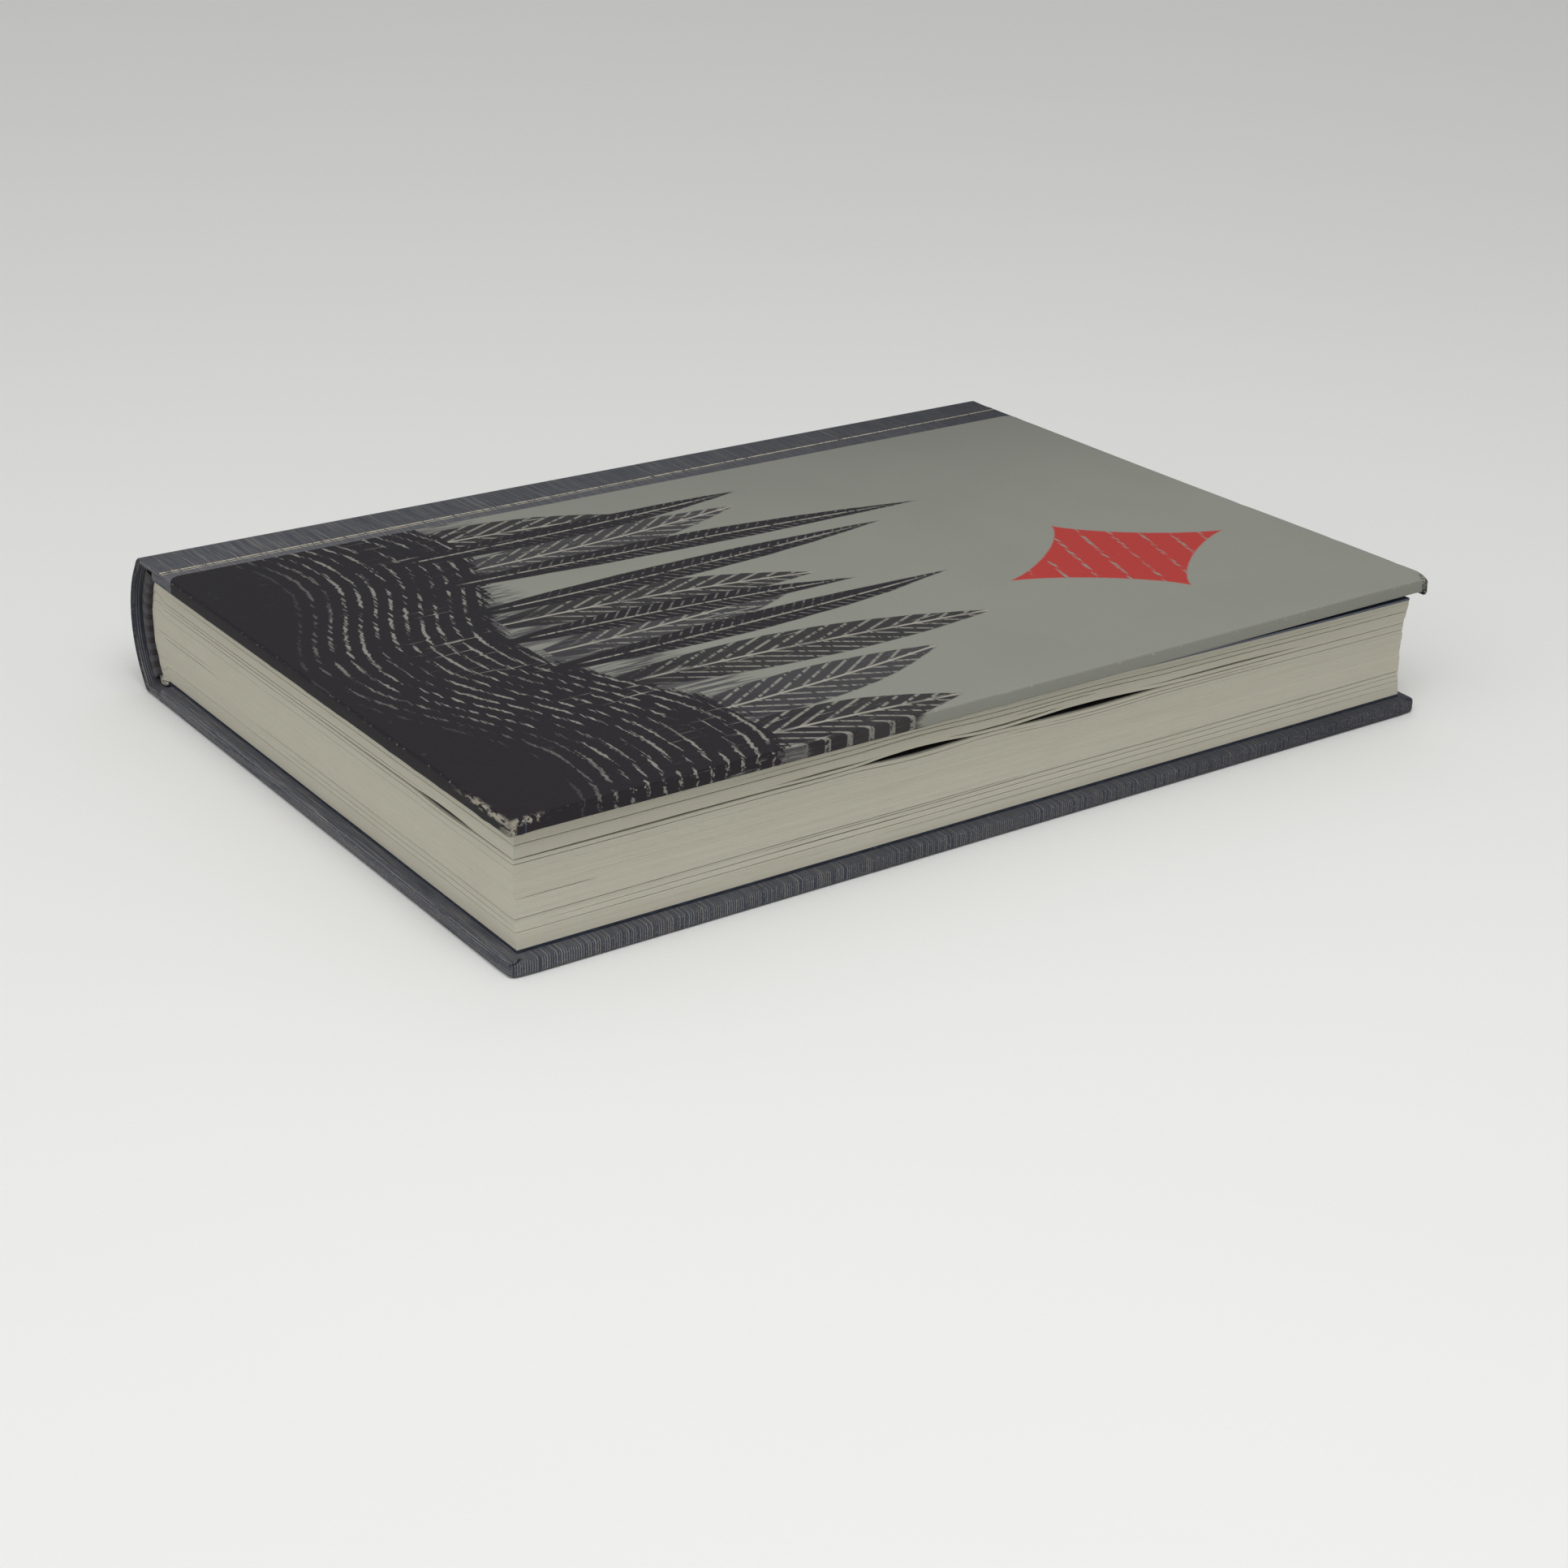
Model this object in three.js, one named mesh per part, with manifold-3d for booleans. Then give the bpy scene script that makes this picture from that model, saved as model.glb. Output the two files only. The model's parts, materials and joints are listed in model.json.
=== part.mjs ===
// A quarter-bound hardback book, lying closed on its back cover.
// Millimetres, +Z up. X runs from the spine to the fore edge, Y from the tail to the head.
// The origin is the middle of the book's underside.
import * as THREE from "three";
import { RoundedBoxGeometry } from "three/addons/geometries/RoundedBoxGeometry.js";
import { mergeVertices } from "three/addons/utils/BufferGeometryUtils.js";
import Module from "manifold-3d";

const wasm = await Module();
wasm.setup();

// Driving dimensions

// Page block
const pagesLength = 223;
const pagesThickness = 23.6;
const pagesReach = 153.2; // hinge line to fore edge
const foreEdgeHollow = 2;
const flareRun = 1; // where the leaves start to rise towards the shoulders
const square = 3; // how far the boards stand out past the pages
const flyleafThickness = 0.2;
const leafGap = 0.05; // on each side of a flyleaf

// Boards and their coverings
const boardThickness = 2.6;
const clothThickness = 0.35;
const inkThickness = 0.1;
const turnInThickness = 0.3;
const turnInWidth = 15;
const pastedownThickness = 0.15;
const boardEdgeRadius = 0.5;
const clothStripWidth = 6.4; // board's spine edge to the printed paper

// Joint and spine
const spineReach = 5.8; // hinge line to the spine's outermost face
const turnClearance = 0.5;
const clothCutReach = 4.9; // hinge line to the cut in the joint cloth
const jointGap = 0.35;
const jointDip = 0.75;
const spineRise = 3.5;
const shoulderDrop = 1.4;
const shoulderWidth = 2.9;
const shoulderRound = 0.15;
const inlayThickness = 0.5;
const liningThickness = 0.35;
const hollowGap = 0.3;
const bandWidth = 2.2;
const bandHeight = 1.4;
const bandRibs = 9;
const ribHeight = 0.25;

// Gaps that stand open between the leaves, as [middle, length, height]
const leafGaps = [
  [-18, 34, 0.7],
  [22, 28, 0.6],
];
const leafGapDepth = 4;
const cutOver = 1; // how far a cutting solid stands out past what it cuts
const leafGapFall = 5.9; // below the top leaf

// Printed design
const designMargin = 1.5;
const lozenge = { fromForeEdge: 47, fromHead: 48, width: 46, height: 62 };
const reedHeights = [96, 128, 112, 84, 104];
const reedSpacing = 17;
const reedWidth = 9;
const reedStart = 20; // first reed, from the paper's spine edge
const hillHeight = 52;
const hillSwell = 9;

// Worked-out sizes

const coverThickness = clothThickness + boardThickness + turnInThickness + pastedownThickness;
const bookThickness = pagesThickness + 2 * (flyleafThickness + 2 * leafGap + coverThickness);
const coverLength = pagesLength + 2 * square;
const foreEdge = (spineReach + pagesReach + square) / 2;
const spineFace = -foreEdge;
const hingeX = spineFace + spineReach;
const frontHingeZ = bookThickness - coverThickness;
const middle = bookThickness / 2;
const boardStart = hingeX + spineReach + turnClearance;
const pagesTop = middle + pagesThickness / 2;
const pagesFore = hingeX + pagesReach;
const paperStart = boardStart + clothStripWidth;
const sidingWidth = foreEdge - paperStart;
const paperTop = bookThickness - inkThickness;

const looks = {
  pages: { color: 0xa5a294, roughness: 0.9 },
  cloth: { color: 0x4e5058, roughness: 0.95 },
  paper: { color: 0x87887f, roughness: 0.75 },
  darkInk: { color: 0x2e2b30, roughness: 0.7 },
  redInk: { color: 0xaa3732, roughness: 0.7 },
  endpaper: { color: 0x4a5468, roughness: 0.85 },
  board: { color: 0x8c8171, roughness: 0.95 },
  lining: { color: 0xb9b09a, roughness: 0.95 },
  band: { color: 0x2a2425, roughness: 0.8 },
};

const materialOf = (look) => new THREE.MeshStandardMaterial({ metalness: 0, ...looks[look] });

// Solids

function solidOf(geometry) {
  const bare = geometry.clone();
  for (const name of Object.keys(bare.attributes)) {
    if (name !== "position") bare.deleteAttribute(name);
  }
  const merged = mergeVertices(bare, 1e-4);
  return new wasm.Manifold(
    new wasm.Mesh({
      numProp: 3,
      vertProperties: new Float32Array(merged.attributes.position.array),
      triVerts: new Uint32Array(merged.index.array),
    }),
  );
}

function geometryOf(solid) {
  const mesh = solid.getMesh();
  const geometry = new THREE.BufferGeometry();
  geometry.setAttribute("position", new THREE.BufferAttribute(mesh.vertProperties, 3));
  geometry.setIndex(new THREE.BufferAttribute(mesh.triVerts, 1));
  geometry.computeVertexNormals();
  return geometry;
}

// Moves a box to stand between two corners, with its outer faces at exactly their values.
function between(box, low, high) {
  const nearly = 1e-4;
  const place = box.attributes.position;
  box.translate(...low.map((value, i) => (value + high[i]) / 2));
  for (let i = 0; i < place.array.length; i += 1) {
    for (const face of [low[i % 3], high[i % 3]]) {
      if (Math.abs(place.array[i] - face) < nearly) place.array[i] = face;
    }
  }
  return solidOf(box);
}

function boxBetween(low, high) {
  const size = high.map((value, i) => value - low[i]);
  return between(new THREE.BoxGeometry(...size), low, high);
}

function roundedBoxBetween(low, high, radius) {
  const size = high.map((value, i) => value - low[i]);
  return between(new RoundedBoxGeometry(...size, 3, radius), low, high);
}

// A section drawn in X and Z, run along Y from one end to the other.
function run(points, from, to) {
  const shape = new THREE.Shape(points.map(([x, z]) => new THREE.Vector2(x, -z)));
  const solid = new THREE.ExtrudeGeometry(shape, { depth: to - from, bevelEnabled: false });
  return solidOf(solid.rotateX(-Math.PI / 2).translate(0, from, 0));
}

// A sheet drawn in X and Y, of the given thickness, standing on a height.
function sheet(shape, bottom, thickness) {
  const solid = new THREE.ExtrudeGeometry(shape, { depth: thickness, bevelEnabled: false });
  return solidOf(solid.translate(0, 0, bottom));
}

// The same solid on the book's underside.
function turnedOver(solid) {
  const geometry = geometryOf(solid);
  geometry.applyMatrix4(new THREE.Matrix4().makeScale(1, 1, -1).setPosition(0, 0, bookThickness));
  const corners = geometry.index.array;
  for (let i = 0; i < corners.length; i += 3) {
    [corners[i + 1], corners[i + 2]] = [corners[i + 2], corners[i + 1]];
  }
  return solidOf(geometry);
}

// Spine section

const arcSteps = 10;
const spineSteps = 68;

// The spine's section at a depth under the cloth's outer face, from the upper joint round the
// spine to the lower joint. Each point is moved in along its own direction.
function spineCurve(depth) {
  const half = middle - shoulderDrop;
  const radius = (half * half + spineRise * spineRise) / (2 * spineRise);
  const upper = [
    [hingeX + clothCutReach, bookThickness - jointDip, 0, -1],
    [hingeX + clothCutReach / 2, bookThickness - jointDip, 0, -1],
    [spineFace + spineRise + shoulderWidth, bookThickness - shoulderRound, 0.1, -1],
    [spineFace + spineRise + shoulderWidth / 2.4, bookThickness - shoulderRound, 0.5, -0.85],
  ];
  const arc = [];
  const spread = Math.asin(half / radius);
  for (let i = 0; i <= arcSteps; i += 1) {
    const angle = spread * (1 - (2 * i) / arcSteps);
    const [across, up] = [Math.cos(angle), Math.sin(angle)];
    arc.push([spineFace + radius * (1 - across), middle + radius * up, across, -up]);
  }
  const lower = upper.map(([x, z, dx, dz]) => [x, bookThickness - z, dx, -dz]).reverse();
  const through = [...upper, ...arc, ...lower].map(
    ([x, z, dx, dz]) => new THREE.Vector3(x + dx * depth, z + dz * depth, 0),
  );
  return new THREE.CatmullRomCurve3(through, false, "centripetal");
}

// Points of that section between two fractions of the way round.
function inward(depth, from = 0, to = 1) {
  const curve = spineCurve(depth);
  const points = [];
  for (let i = Math.round(from * spineSteps); i <= Math.round(to * spineSteps); i += 1) {
    const point = curve.getPoint(i / spineSteps);
    points.push([point.x, point.y]);
  }
  return points;
}

// A skin between two depths under the spine's outer face.
const skin = (outer, inner, from, to) => [
  ...inward(outer, from, to),
  ...inward(inner, from, to).reverse(),
];

const inlayDepth = clothThickness;
const turnInDepth = inlayDepth + inlayThickness;
const liningDepth = turnInDepth + clothThickness + hollowGap;
const pagesDepth = liningDepth + liningThickness;
const spineFrom = 0.2;
const spineTo = 1 - spineFrom;

// Pieces of the page block and spine

function pages() {
  const back = inward(pagesDepth).filter(([x]) => x < hingeX + clothCutReach - flareRun);
  const fore = [];
  for (let i = 0; i <= 12; i += 1) {
    const height = i / 6 - 1;
    fore.push([
      pagesFore - foreEdgeHollow * (1 - height * height),
      middle + (height * pagesThickness) / 2,
    ]);
  }
  const top = [hingeX + clothCutReach, pagesTop];
  const bottom = [hingeX + clothCutReach, bookThickness - pagesTop];
  const block = run([top, ...back, bottom, ...fore], -pagesLength / 2, pagesLength / 2);
  return leafGaps.reduce((cut, gap) => cut.subtract(openGap(...gap)), block);
}

// A lens-shaped gap in the fore edge, where a few leaves have bowed apart.
function openGap(centre, length, height) {
  const lens = new THREE.Shape();
  lens.moveTo(-length / 2, 0);
  lens.quadraticCurveTo(0, height, length / 2, 0);
  lens.quadraticCurveTo(0, -height, -length / 2, 0);
  const depth = leafGapDepth + foreEdgeHollow;
  const solid = new THREE.ExtrudeGeometry(lens, {
    depth: depth + cutOver,
    bevelEnabled: false,
    curveSegments: 8,
  });
  solid.applyMatrix4(new THREE.Matrix4().makeBasis(
    new THREE.Vector3(0, 1, 0),
    new THREE.Vector3(0, 0, 1),
    new THREE.Vector3(1, 0, 0),
  ));
  return solidOf(solid.translate(pagesFore - depth, centre, pagesTop - leafGapFall));
}

// A woven band with cross ribs, standing on the end of the page block along its back.
function endBand(side) {
  const from = 0.26;
  const back = inward(pagesDepth, from, 1 - from);
  const count = back.length - 1;
  const front = inward(pagesDepth + bandWidth, from, 1 - from).map(([x, z], i) => {
    const rib = ribHeight * Math.abs(Math.sin((Math.PI * bandRibs * i) / count));
    return [x + rib, z];
  });
  const start = (side * pagesLength) / 2;
  const end = start + side * bandHeight;
  return run([...back, ...front.reverse()], Math.min(start, end), Math.max(start, end));
}

function spineLining() {
  const half = pagesLength / 2 - square;
  return run(skin(liningDepth, pagesDepth, spineFrom + 0.04, spineTo - 0.04), -half, half);
}

function spineInlay() {
  const half = coverLength / 2 - clothThickness;
  return run(skin(inlayDepth, turnInDepth, spineFrom, spineTo), -half, half);
}

// The cloth goes over the inlay and folds in round both of its ends.
function spineCloth() {
  const half = coverLength / 2;
  const wrap = run(skin(0, clothThickness), -half, half);
  const inner = turnInDepth + clothThickness;
  return [-1, 1].reduce((cloth, side) => {
    const edge = side * half;
    const fold = side * (half - clothThickness);
    const hem = side * (half - turnInWidth);
    const ends = (a, b) => [Math.min(a, b), Math.max(a, b)];
    return cloth
      .add(run(skin(clothThickness / 2, inner, spineFrom, spineTo), ...ends(fold, edge)))
      .add(run(skin(turnInDepth, inner, spineFrom, spineTo), ...ends(hem, edge)));
  }, wrap);
}

function frontFlyleaf() {
  return boxBetween(
    [hingeX + clothCutReach, -pagesLength / 2, pagesTop + leafGap],
    [pagesFore, pagesLength / 2, pagesTop + leafGap + flyleafThickness],
  );
}

// Pieces of the cover

const boardBottom = frontHingeZ + pastedownThickness + turnInThickness;
const boardTop = boardBottom + boardThickness;
const boardEdge = foreEdge - clothThickness;
const boardEnd = coverLength / 2 - clothThickness;
const windowStart = boardStart + turnInWidth;
const windowEnd = foreEdge - turnInWidth;
const windowHalf = coverLength / 2 - turnInWidth;

function board() {
  return boxBetween([boardStart, -boardEnd, boardBottom], [boardEdge, boardEnd, boardTop]);
}

// The covering that goes over the board and turns in on three sides, up to a given top.
function covering(top) {
  const over = spineReach;
  const outside = roundedBoxBetween(
    [boardStart - over, -coverLength / 2, frontHingeZ + pastedownThickness],
    [foreEdge, coverLength / 2, top],
    boardEdgeRadius,
  );
  const beside = boxBetween(
    [boardStart, -coverLength, frontHingeZ - cutOver],
    [foreEdge + cutOver, coverLength, bookThickness + cutOver],
  );
  const window = boxBetween(
    [boardStart - cutOver, -windowHalf, frontHingeZ - cutOver],
    [windowEnd, windowHalf, boardBottom],
  );
  return outside.intersect(beside).subtract(board()).subtract(window);
}

// The part of a covering between two places across the cover.
function strip(solid, from, to) {
  const part = boxBetween(
    [from, -coverLength, frontHingeZ - cutOver],
    [to, coverLength, bookThickness + cutOver],
  );
  return solid.intersect(part);
}

// Joint cloth that stays with the board: from its inner edge down to the cut.
function jointFlap(top) {
  const cut = hingeX + clothCutReach + jointGap;
  const over = boardStart + clothThickness;
  const half = coverLength / 2 - boardEdgeRadius;
  return run(
    [
      [over, top],
      [over, boardTop],
      [boardStart, boardTop],
      [cut, bookThickness - jointDip - clothThickness],
      [cut, bookThickness - jointDip],
      [boardStart, top],
    ],
    -half,
    half,
  );
}

const clothTop = boardTop + clothThickness;

function frontCloth() {
  return strip(covering(clothTop), boardStart, paperStart).add(jointFlap(clothTop));
}

function frontPaper() {
  return strip(covering(paperTop), paperStart, foreEdge + cutOver);
}

function backCloth() {
  return turnedOver(covering(clothTop).add(jointFlap(clothTop)));
}

// The endpaper's fixed leaf: it covers the turn-ins and fills the window between them.
function pastedown() {
  const leaf = boxBetween(
    [boardStart, -pagesLength / 2, frontHingeZ],
    [pagesFore, pagesLength / 2, frontHingeZ + pastedownThickness],
  );
  const fill = boxBetween(
    [boardStart, -windowHalf, frontHingeZ + pastedownThickness / 2],
    [windowEnd, windowHalf, boardBottom],
  );
  return leaf.add(fill);
}

// Printed design: reeds over hills in dark ink, and one red lozenge

function hillLine(x) {
  const across = (x - paperStart) / sidingWidth;
  return -coverLength / 2 + hillHeight + hillSwell * Math.sin(2 * Math.PI * across * 1.3 + 0.6);
}

function hillShape() {
  const left = paperStart + designMargin;
  const right = foreEdge - designMargin;
  const steps = 24;
  const shape = new THREE.Shape();
  shape.moveTo(left, -coverLength / 2 + designMargin);
  shape.lineTo(right, -coverLength / 2 + designMargin);
  for (let i = steps; i >= 0; i -= 1) {
    const x = left + ((right - left) * i) / steps;
    shape.lineTo(x, hillLine(x));
  }
  return shape;
}

function reedShape(index, height) {
  const x = paperStart + reedStart + index * reedSpacing;
  const foot = hillLine(x) - reedWidth;
  const lean = reedWidth * (index % 2 ? 0.7 : -0.5);
  const shape = new THREE.Shape();
  shape.moveTo(x - reedWidth / 5, foot);
  shape.lineTo(x + reedWidth / 5, foot);
  shape.quadraticCurveTo(x + reedWidth, foot + height * 0.55, x + lean, foot + height);
  shape.quadraticCurveTo(x - reedWidth, foot + height * 0.5, x - reedWidth / 5, foot);
  return shape;
}

function darkPrint() {
  const reeds = reedHeights.map((height, i) => sheet(reedShape(i, height), paperTop, inkThickness));
  return reeds.reduce((all, reed) => all.add(reed), sheet(hillShape(), paperTop, inkThickness));
}

function redPrint() {
  const { width, height } = lozenge;
  const x = foreEdge - lozenge.fromForeEdge;
  const y = coverLength / 2 - lozenge.fromHead;
  const shape = new THREE.Shape();
  shape.moveTo(x - width / 2, y);
  shape.quadraticCurveTo(x - width / 6, y - height / 6, x, y - height / 2);
  shape.quadraticCurveTo(x + width / 6, y - height / 6, x + width / 2, y);
  shape.quadraticCurveTo(x + width / 6, y + height / 6, x, y + height / 2);
  shape.quadraticCurveTo(x - width / 6, y + height / 6, x - width / 2, y);
  return sheet(shape, paperTop, inkThickness);
}

// The book

const book = new THREE.Group();

function place(name, look, solid) {
  const mesh = new THREE.Mesh(geometryOf(solid), materialOf(look));
  mesh.name = name;
  book.add(mesh);
}

place("text_block", "pages", pages());
place("tail_band", "band", endBand(-1));
place("head_band", "band", endBand(1));
place("spine_lining", "lining", spineLining());
place("spine_inlay", "board", spineInlay());
place("spine_cloth", "cloth", spineCloth());
place("front_flyleaf", "endpaper", frontFlyleaf());
place("rear_flyleaf", "endpaper", turnedOver(frontFlyleaf()));

place("front_board", "board", board());
place("front_cover_cloth", "cloth", frontCloth());
place("front_cover_paper", "paper", frontPaper());
place("front_pastedown", "endpaper", pastedown());
place("cover_print_dark", "darkInk", darkPrint());
place("cover_print_red", "redInk", redPrint());

place("back_board", "board", turnedOver(board()));
place("back_cover_cloth", "cloth", backCloth());
place("back_pastedown", "endpaper", turnedOver(pastedown()));

export default book;
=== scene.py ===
"""A used quarter-bound hardback book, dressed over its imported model.

Places are in millimetres until a mesh is made.
"""

import json
import math
import random

import bpy
import numpy as np
from mathutils import Matrix, Vector, noise


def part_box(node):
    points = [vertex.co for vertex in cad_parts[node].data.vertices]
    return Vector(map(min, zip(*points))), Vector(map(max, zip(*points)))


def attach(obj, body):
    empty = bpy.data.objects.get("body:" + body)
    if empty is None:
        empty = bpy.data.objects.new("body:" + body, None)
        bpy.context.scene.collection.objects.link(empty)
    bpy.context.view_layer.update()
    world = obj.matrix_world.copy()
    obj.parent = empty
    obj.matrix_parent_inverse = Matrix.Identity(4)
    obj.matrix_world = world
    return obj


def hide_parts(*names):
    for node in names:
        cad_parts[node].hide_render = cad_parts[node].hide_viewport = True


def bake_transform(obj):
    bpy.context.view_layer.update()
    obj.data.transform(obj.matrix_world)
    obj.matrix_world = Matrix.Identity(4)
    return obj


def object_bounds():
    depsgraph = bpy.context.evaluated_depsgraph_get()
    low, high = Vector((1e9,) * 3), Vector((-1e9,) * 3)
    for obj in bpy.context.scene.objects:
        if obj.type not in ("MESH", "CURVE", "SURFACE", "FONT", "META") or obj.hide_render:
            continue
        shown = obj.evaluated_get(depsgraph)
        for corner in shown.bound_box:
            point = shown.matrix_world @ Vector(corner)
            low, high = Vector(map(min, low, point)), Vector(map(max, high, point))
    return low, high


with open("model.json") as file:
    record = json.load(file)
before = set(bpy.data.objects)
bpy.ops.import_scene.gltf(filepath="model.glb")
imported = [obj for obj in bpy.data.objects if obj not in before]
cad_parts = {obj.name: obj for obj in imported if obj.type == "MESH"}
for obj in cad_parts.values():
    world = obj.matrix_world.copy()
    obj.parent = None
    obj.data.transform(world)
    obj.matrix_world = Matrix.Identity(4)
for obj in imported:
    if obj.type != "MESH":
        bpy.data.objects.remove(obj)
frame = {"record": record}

MM = 0.001
MODEL_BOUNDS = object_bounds()


# Sizes, from the frame

def box_of(node):
    """A node's lowest and highest corners, in millimetres."""
    return [np.array(corner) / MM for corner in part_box(node)]


LOW, HIGH = [np.array(corner) / MM for corner in MODEL_BOUNDS]
THICK = HIGH[2]
HALF = HIGH[1]
FORE = HIGH[0]
SPINE = LOW[0]
FRONT_HINGE, BACK_HINGE = [np.array(j["pos_m"]) / MM for j in frame["record"]["behaviour"]["joints"]]
HINGE_X = FRONT_HINGE[0]
BOARD_LOW, BOARD_HIGH = box_of("front_board")
PAPER_LOW = box_of("front_cover_paper")[0]
PAGES_HIGH = box_of("text_block")[1]
LEAF_LOW, LEAF_HIGH = box_of("front_flyleaf")
BAND_LOW, BAND_HIGH = box_of("tail_band")
PASTEDOWN_LOW, PASTEDOWN_HIGH = box_of("front_pastedown")
PAGES_HALF = PAGES_HIGH[1]
PAGES_TOP = LEAF_LOW[2] - 0.27  # under a free leaf thicker than the solid's
PAGES_BOTTOM = THICK - PAGES_TOP
MIDDLE = THICK / 2
BACK_COVER_TOP = box_of("back_board")[1][2] + 0.5
CLOTH = 0.35
PAPER = 0.25
TURN_IN = 15.0
CLOTH_START = BOARD_LOW[0] + 0.3  # where a joint's cloth meets the board's
CLOTH_TOP = THICK - 0.1  # upper face of the front board's cloth
LIP = PASTEDOWN_LOW[2] + 0.15  # under face of the front cover's turn-ins

# Spine section: a little fuller than the solids, to follow the photo
JOINT_DIP = 0.2
SPINE_RISE = 4.2
SHOULDER_DROP = 1.6
SHOULDER_WIDTH = 2.9
SHOULDER_ROUND = 0.15
CUT_REACH = 4.9  # hinge line to the cut in the joint cloth
SPINE_FROM = 9  # how many steps of the section belong to the joint cloth at each end

# The case's cloth stands further out than the solids, with rounder shoulders
COVER_BULGE = 1.2
COVER_DROP = 2.3
COVER_WIDTH = 3.6

# Depths under the spine's outer face
HEM_DEPTH = 1.02
PAGES_DEPTH = 1.85

# Camera, fitted to the photograph's corners
CAMERA_AZIMUTH = 54.12
CAMERA_ELEVATION = 24.33
CAMERA_ROLL = 1.45
CAMERA_PLACE = (455.1, -327.0, 232.8)
FOCAL_PIXELS = 3404.6
PHOTO_PIXELS = 1932
SENSOR = 36.0


# Meshes

def added(name, data):
    """A new object in the scene."""
    made = bpy.data.objects.new(name, data)
    bpy.context.scene.collection.objects.link(made)
    return made


def make_object(name, vertices, faces, material, smooth=True):
    """A mesh object from places in millimetres."""
    mesh = bpy.data.meshes.new(name)
    mesh.from_pydata([tuple(float(c) * MM for c in v) for v in vertices], [], faces)
    mesh.validate()
    mesh.update()
    mesh.polygons.foreach_set("use_smooth", [smooth] * len(mesh.polygons))
    mesh.materials.append(material)
    return added(name, mesh)


def thicken(piece, thickness, offset=-1.0):
    """Gives a surface its thickness in mm, as part of the mesh."""
    solid = piece.modifiers.new("thickness", "SOLIDIFY")
    solid.thickness = thickness * MM
    solid.offset = offset
    solid.use_even_offset = True
    graph = bpy.context.evaluated_depsgraph_get()
    mesh = bpy.data.meshes.new_from_object(piece.evaluated_get(graph))
    piece.modifiers.clear()
    mesh.set_sharp_from_angle(angle=math.radians(55))
    piece.data = mesh


def turned_over(piece):
    """Mirrors a piece from the front cover to the back cover."""
    piece.data.transform(Matrix.Translation((0, 0, THICK * MM)) @ Matrix.Diagonal((1, 1, -1, 1)))
    piece.data.flip_normals()


def ripple(x, y, z, scale, seed=0.0):
    """Smooth noise from -1 to 1."""
    return noise.noise(Vector((x * scale + seed, y * scale - seed, z * scale + 2 * seed)))


def smooth(value, low, high):
    t = min(max((value - low) / (high - low), 0.0), 1.0)
    return t * t * (3 - 2 * t)


def places(low, high, low_fine, high_fine, step, fine):
    """Places from low to high, fine near the ends that are rounded or worn."""
    middle_low, middle_high = low + low_fine, high - high_fine
    count = max(int(round((middle_high - middle_low) / step)), 1)
    found = [middle_low + (middle_high - middle_low) * i / count for i in range(count + 1)]
    for reach, end, sign in ((low_fine, low, 1), (high_fine, high, -1)):
        steps = int(math.ceil(reach / fine)) if reach else 0
        found += [end + sign * reach * i / steps for i in range(steps)]
    return sorted(set(round(value, 5) for value in found))


def soften(point, low, high, corner, edge, spine_round):
    """Rounds a slab's corners in plan by one radius, and its edges by another."""
    x, y, z = point
    x_low = low[0] + corner if spine_round else low[0]
    core = (min(max(x, x_low), high[0] - corner), min(max(y, low[1] + corner), high[1] - corner))
    dx, dy = x - core[0], y - core[1]
    reach = math.hypot(dx, dy)
    if reach <= 1e-9:
        return point
    length = max(abs(dx), abs(dy))
    way = (dx / reach, dy / reach)
    inset = corner - length
    rise = 0.0
    if z > high[2] - edge:
        rise = z - (high[2] - edge)
    elif z < low[2] + edge:
        rise = z - (low[2] + edge)
    out = edge - inset
    if out > 0 and abs(rise) > 0:
        spread = math.hypot(out, rise)
        longest = max(out, abs(rise))
        new_out, new_rise = out / spread * longest, rise / spread * longest
        length += new_out - out
        z += new_rise - rise
    return (core[0] + way[0] * length, core[1] + way[1] * length, z)


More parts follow.
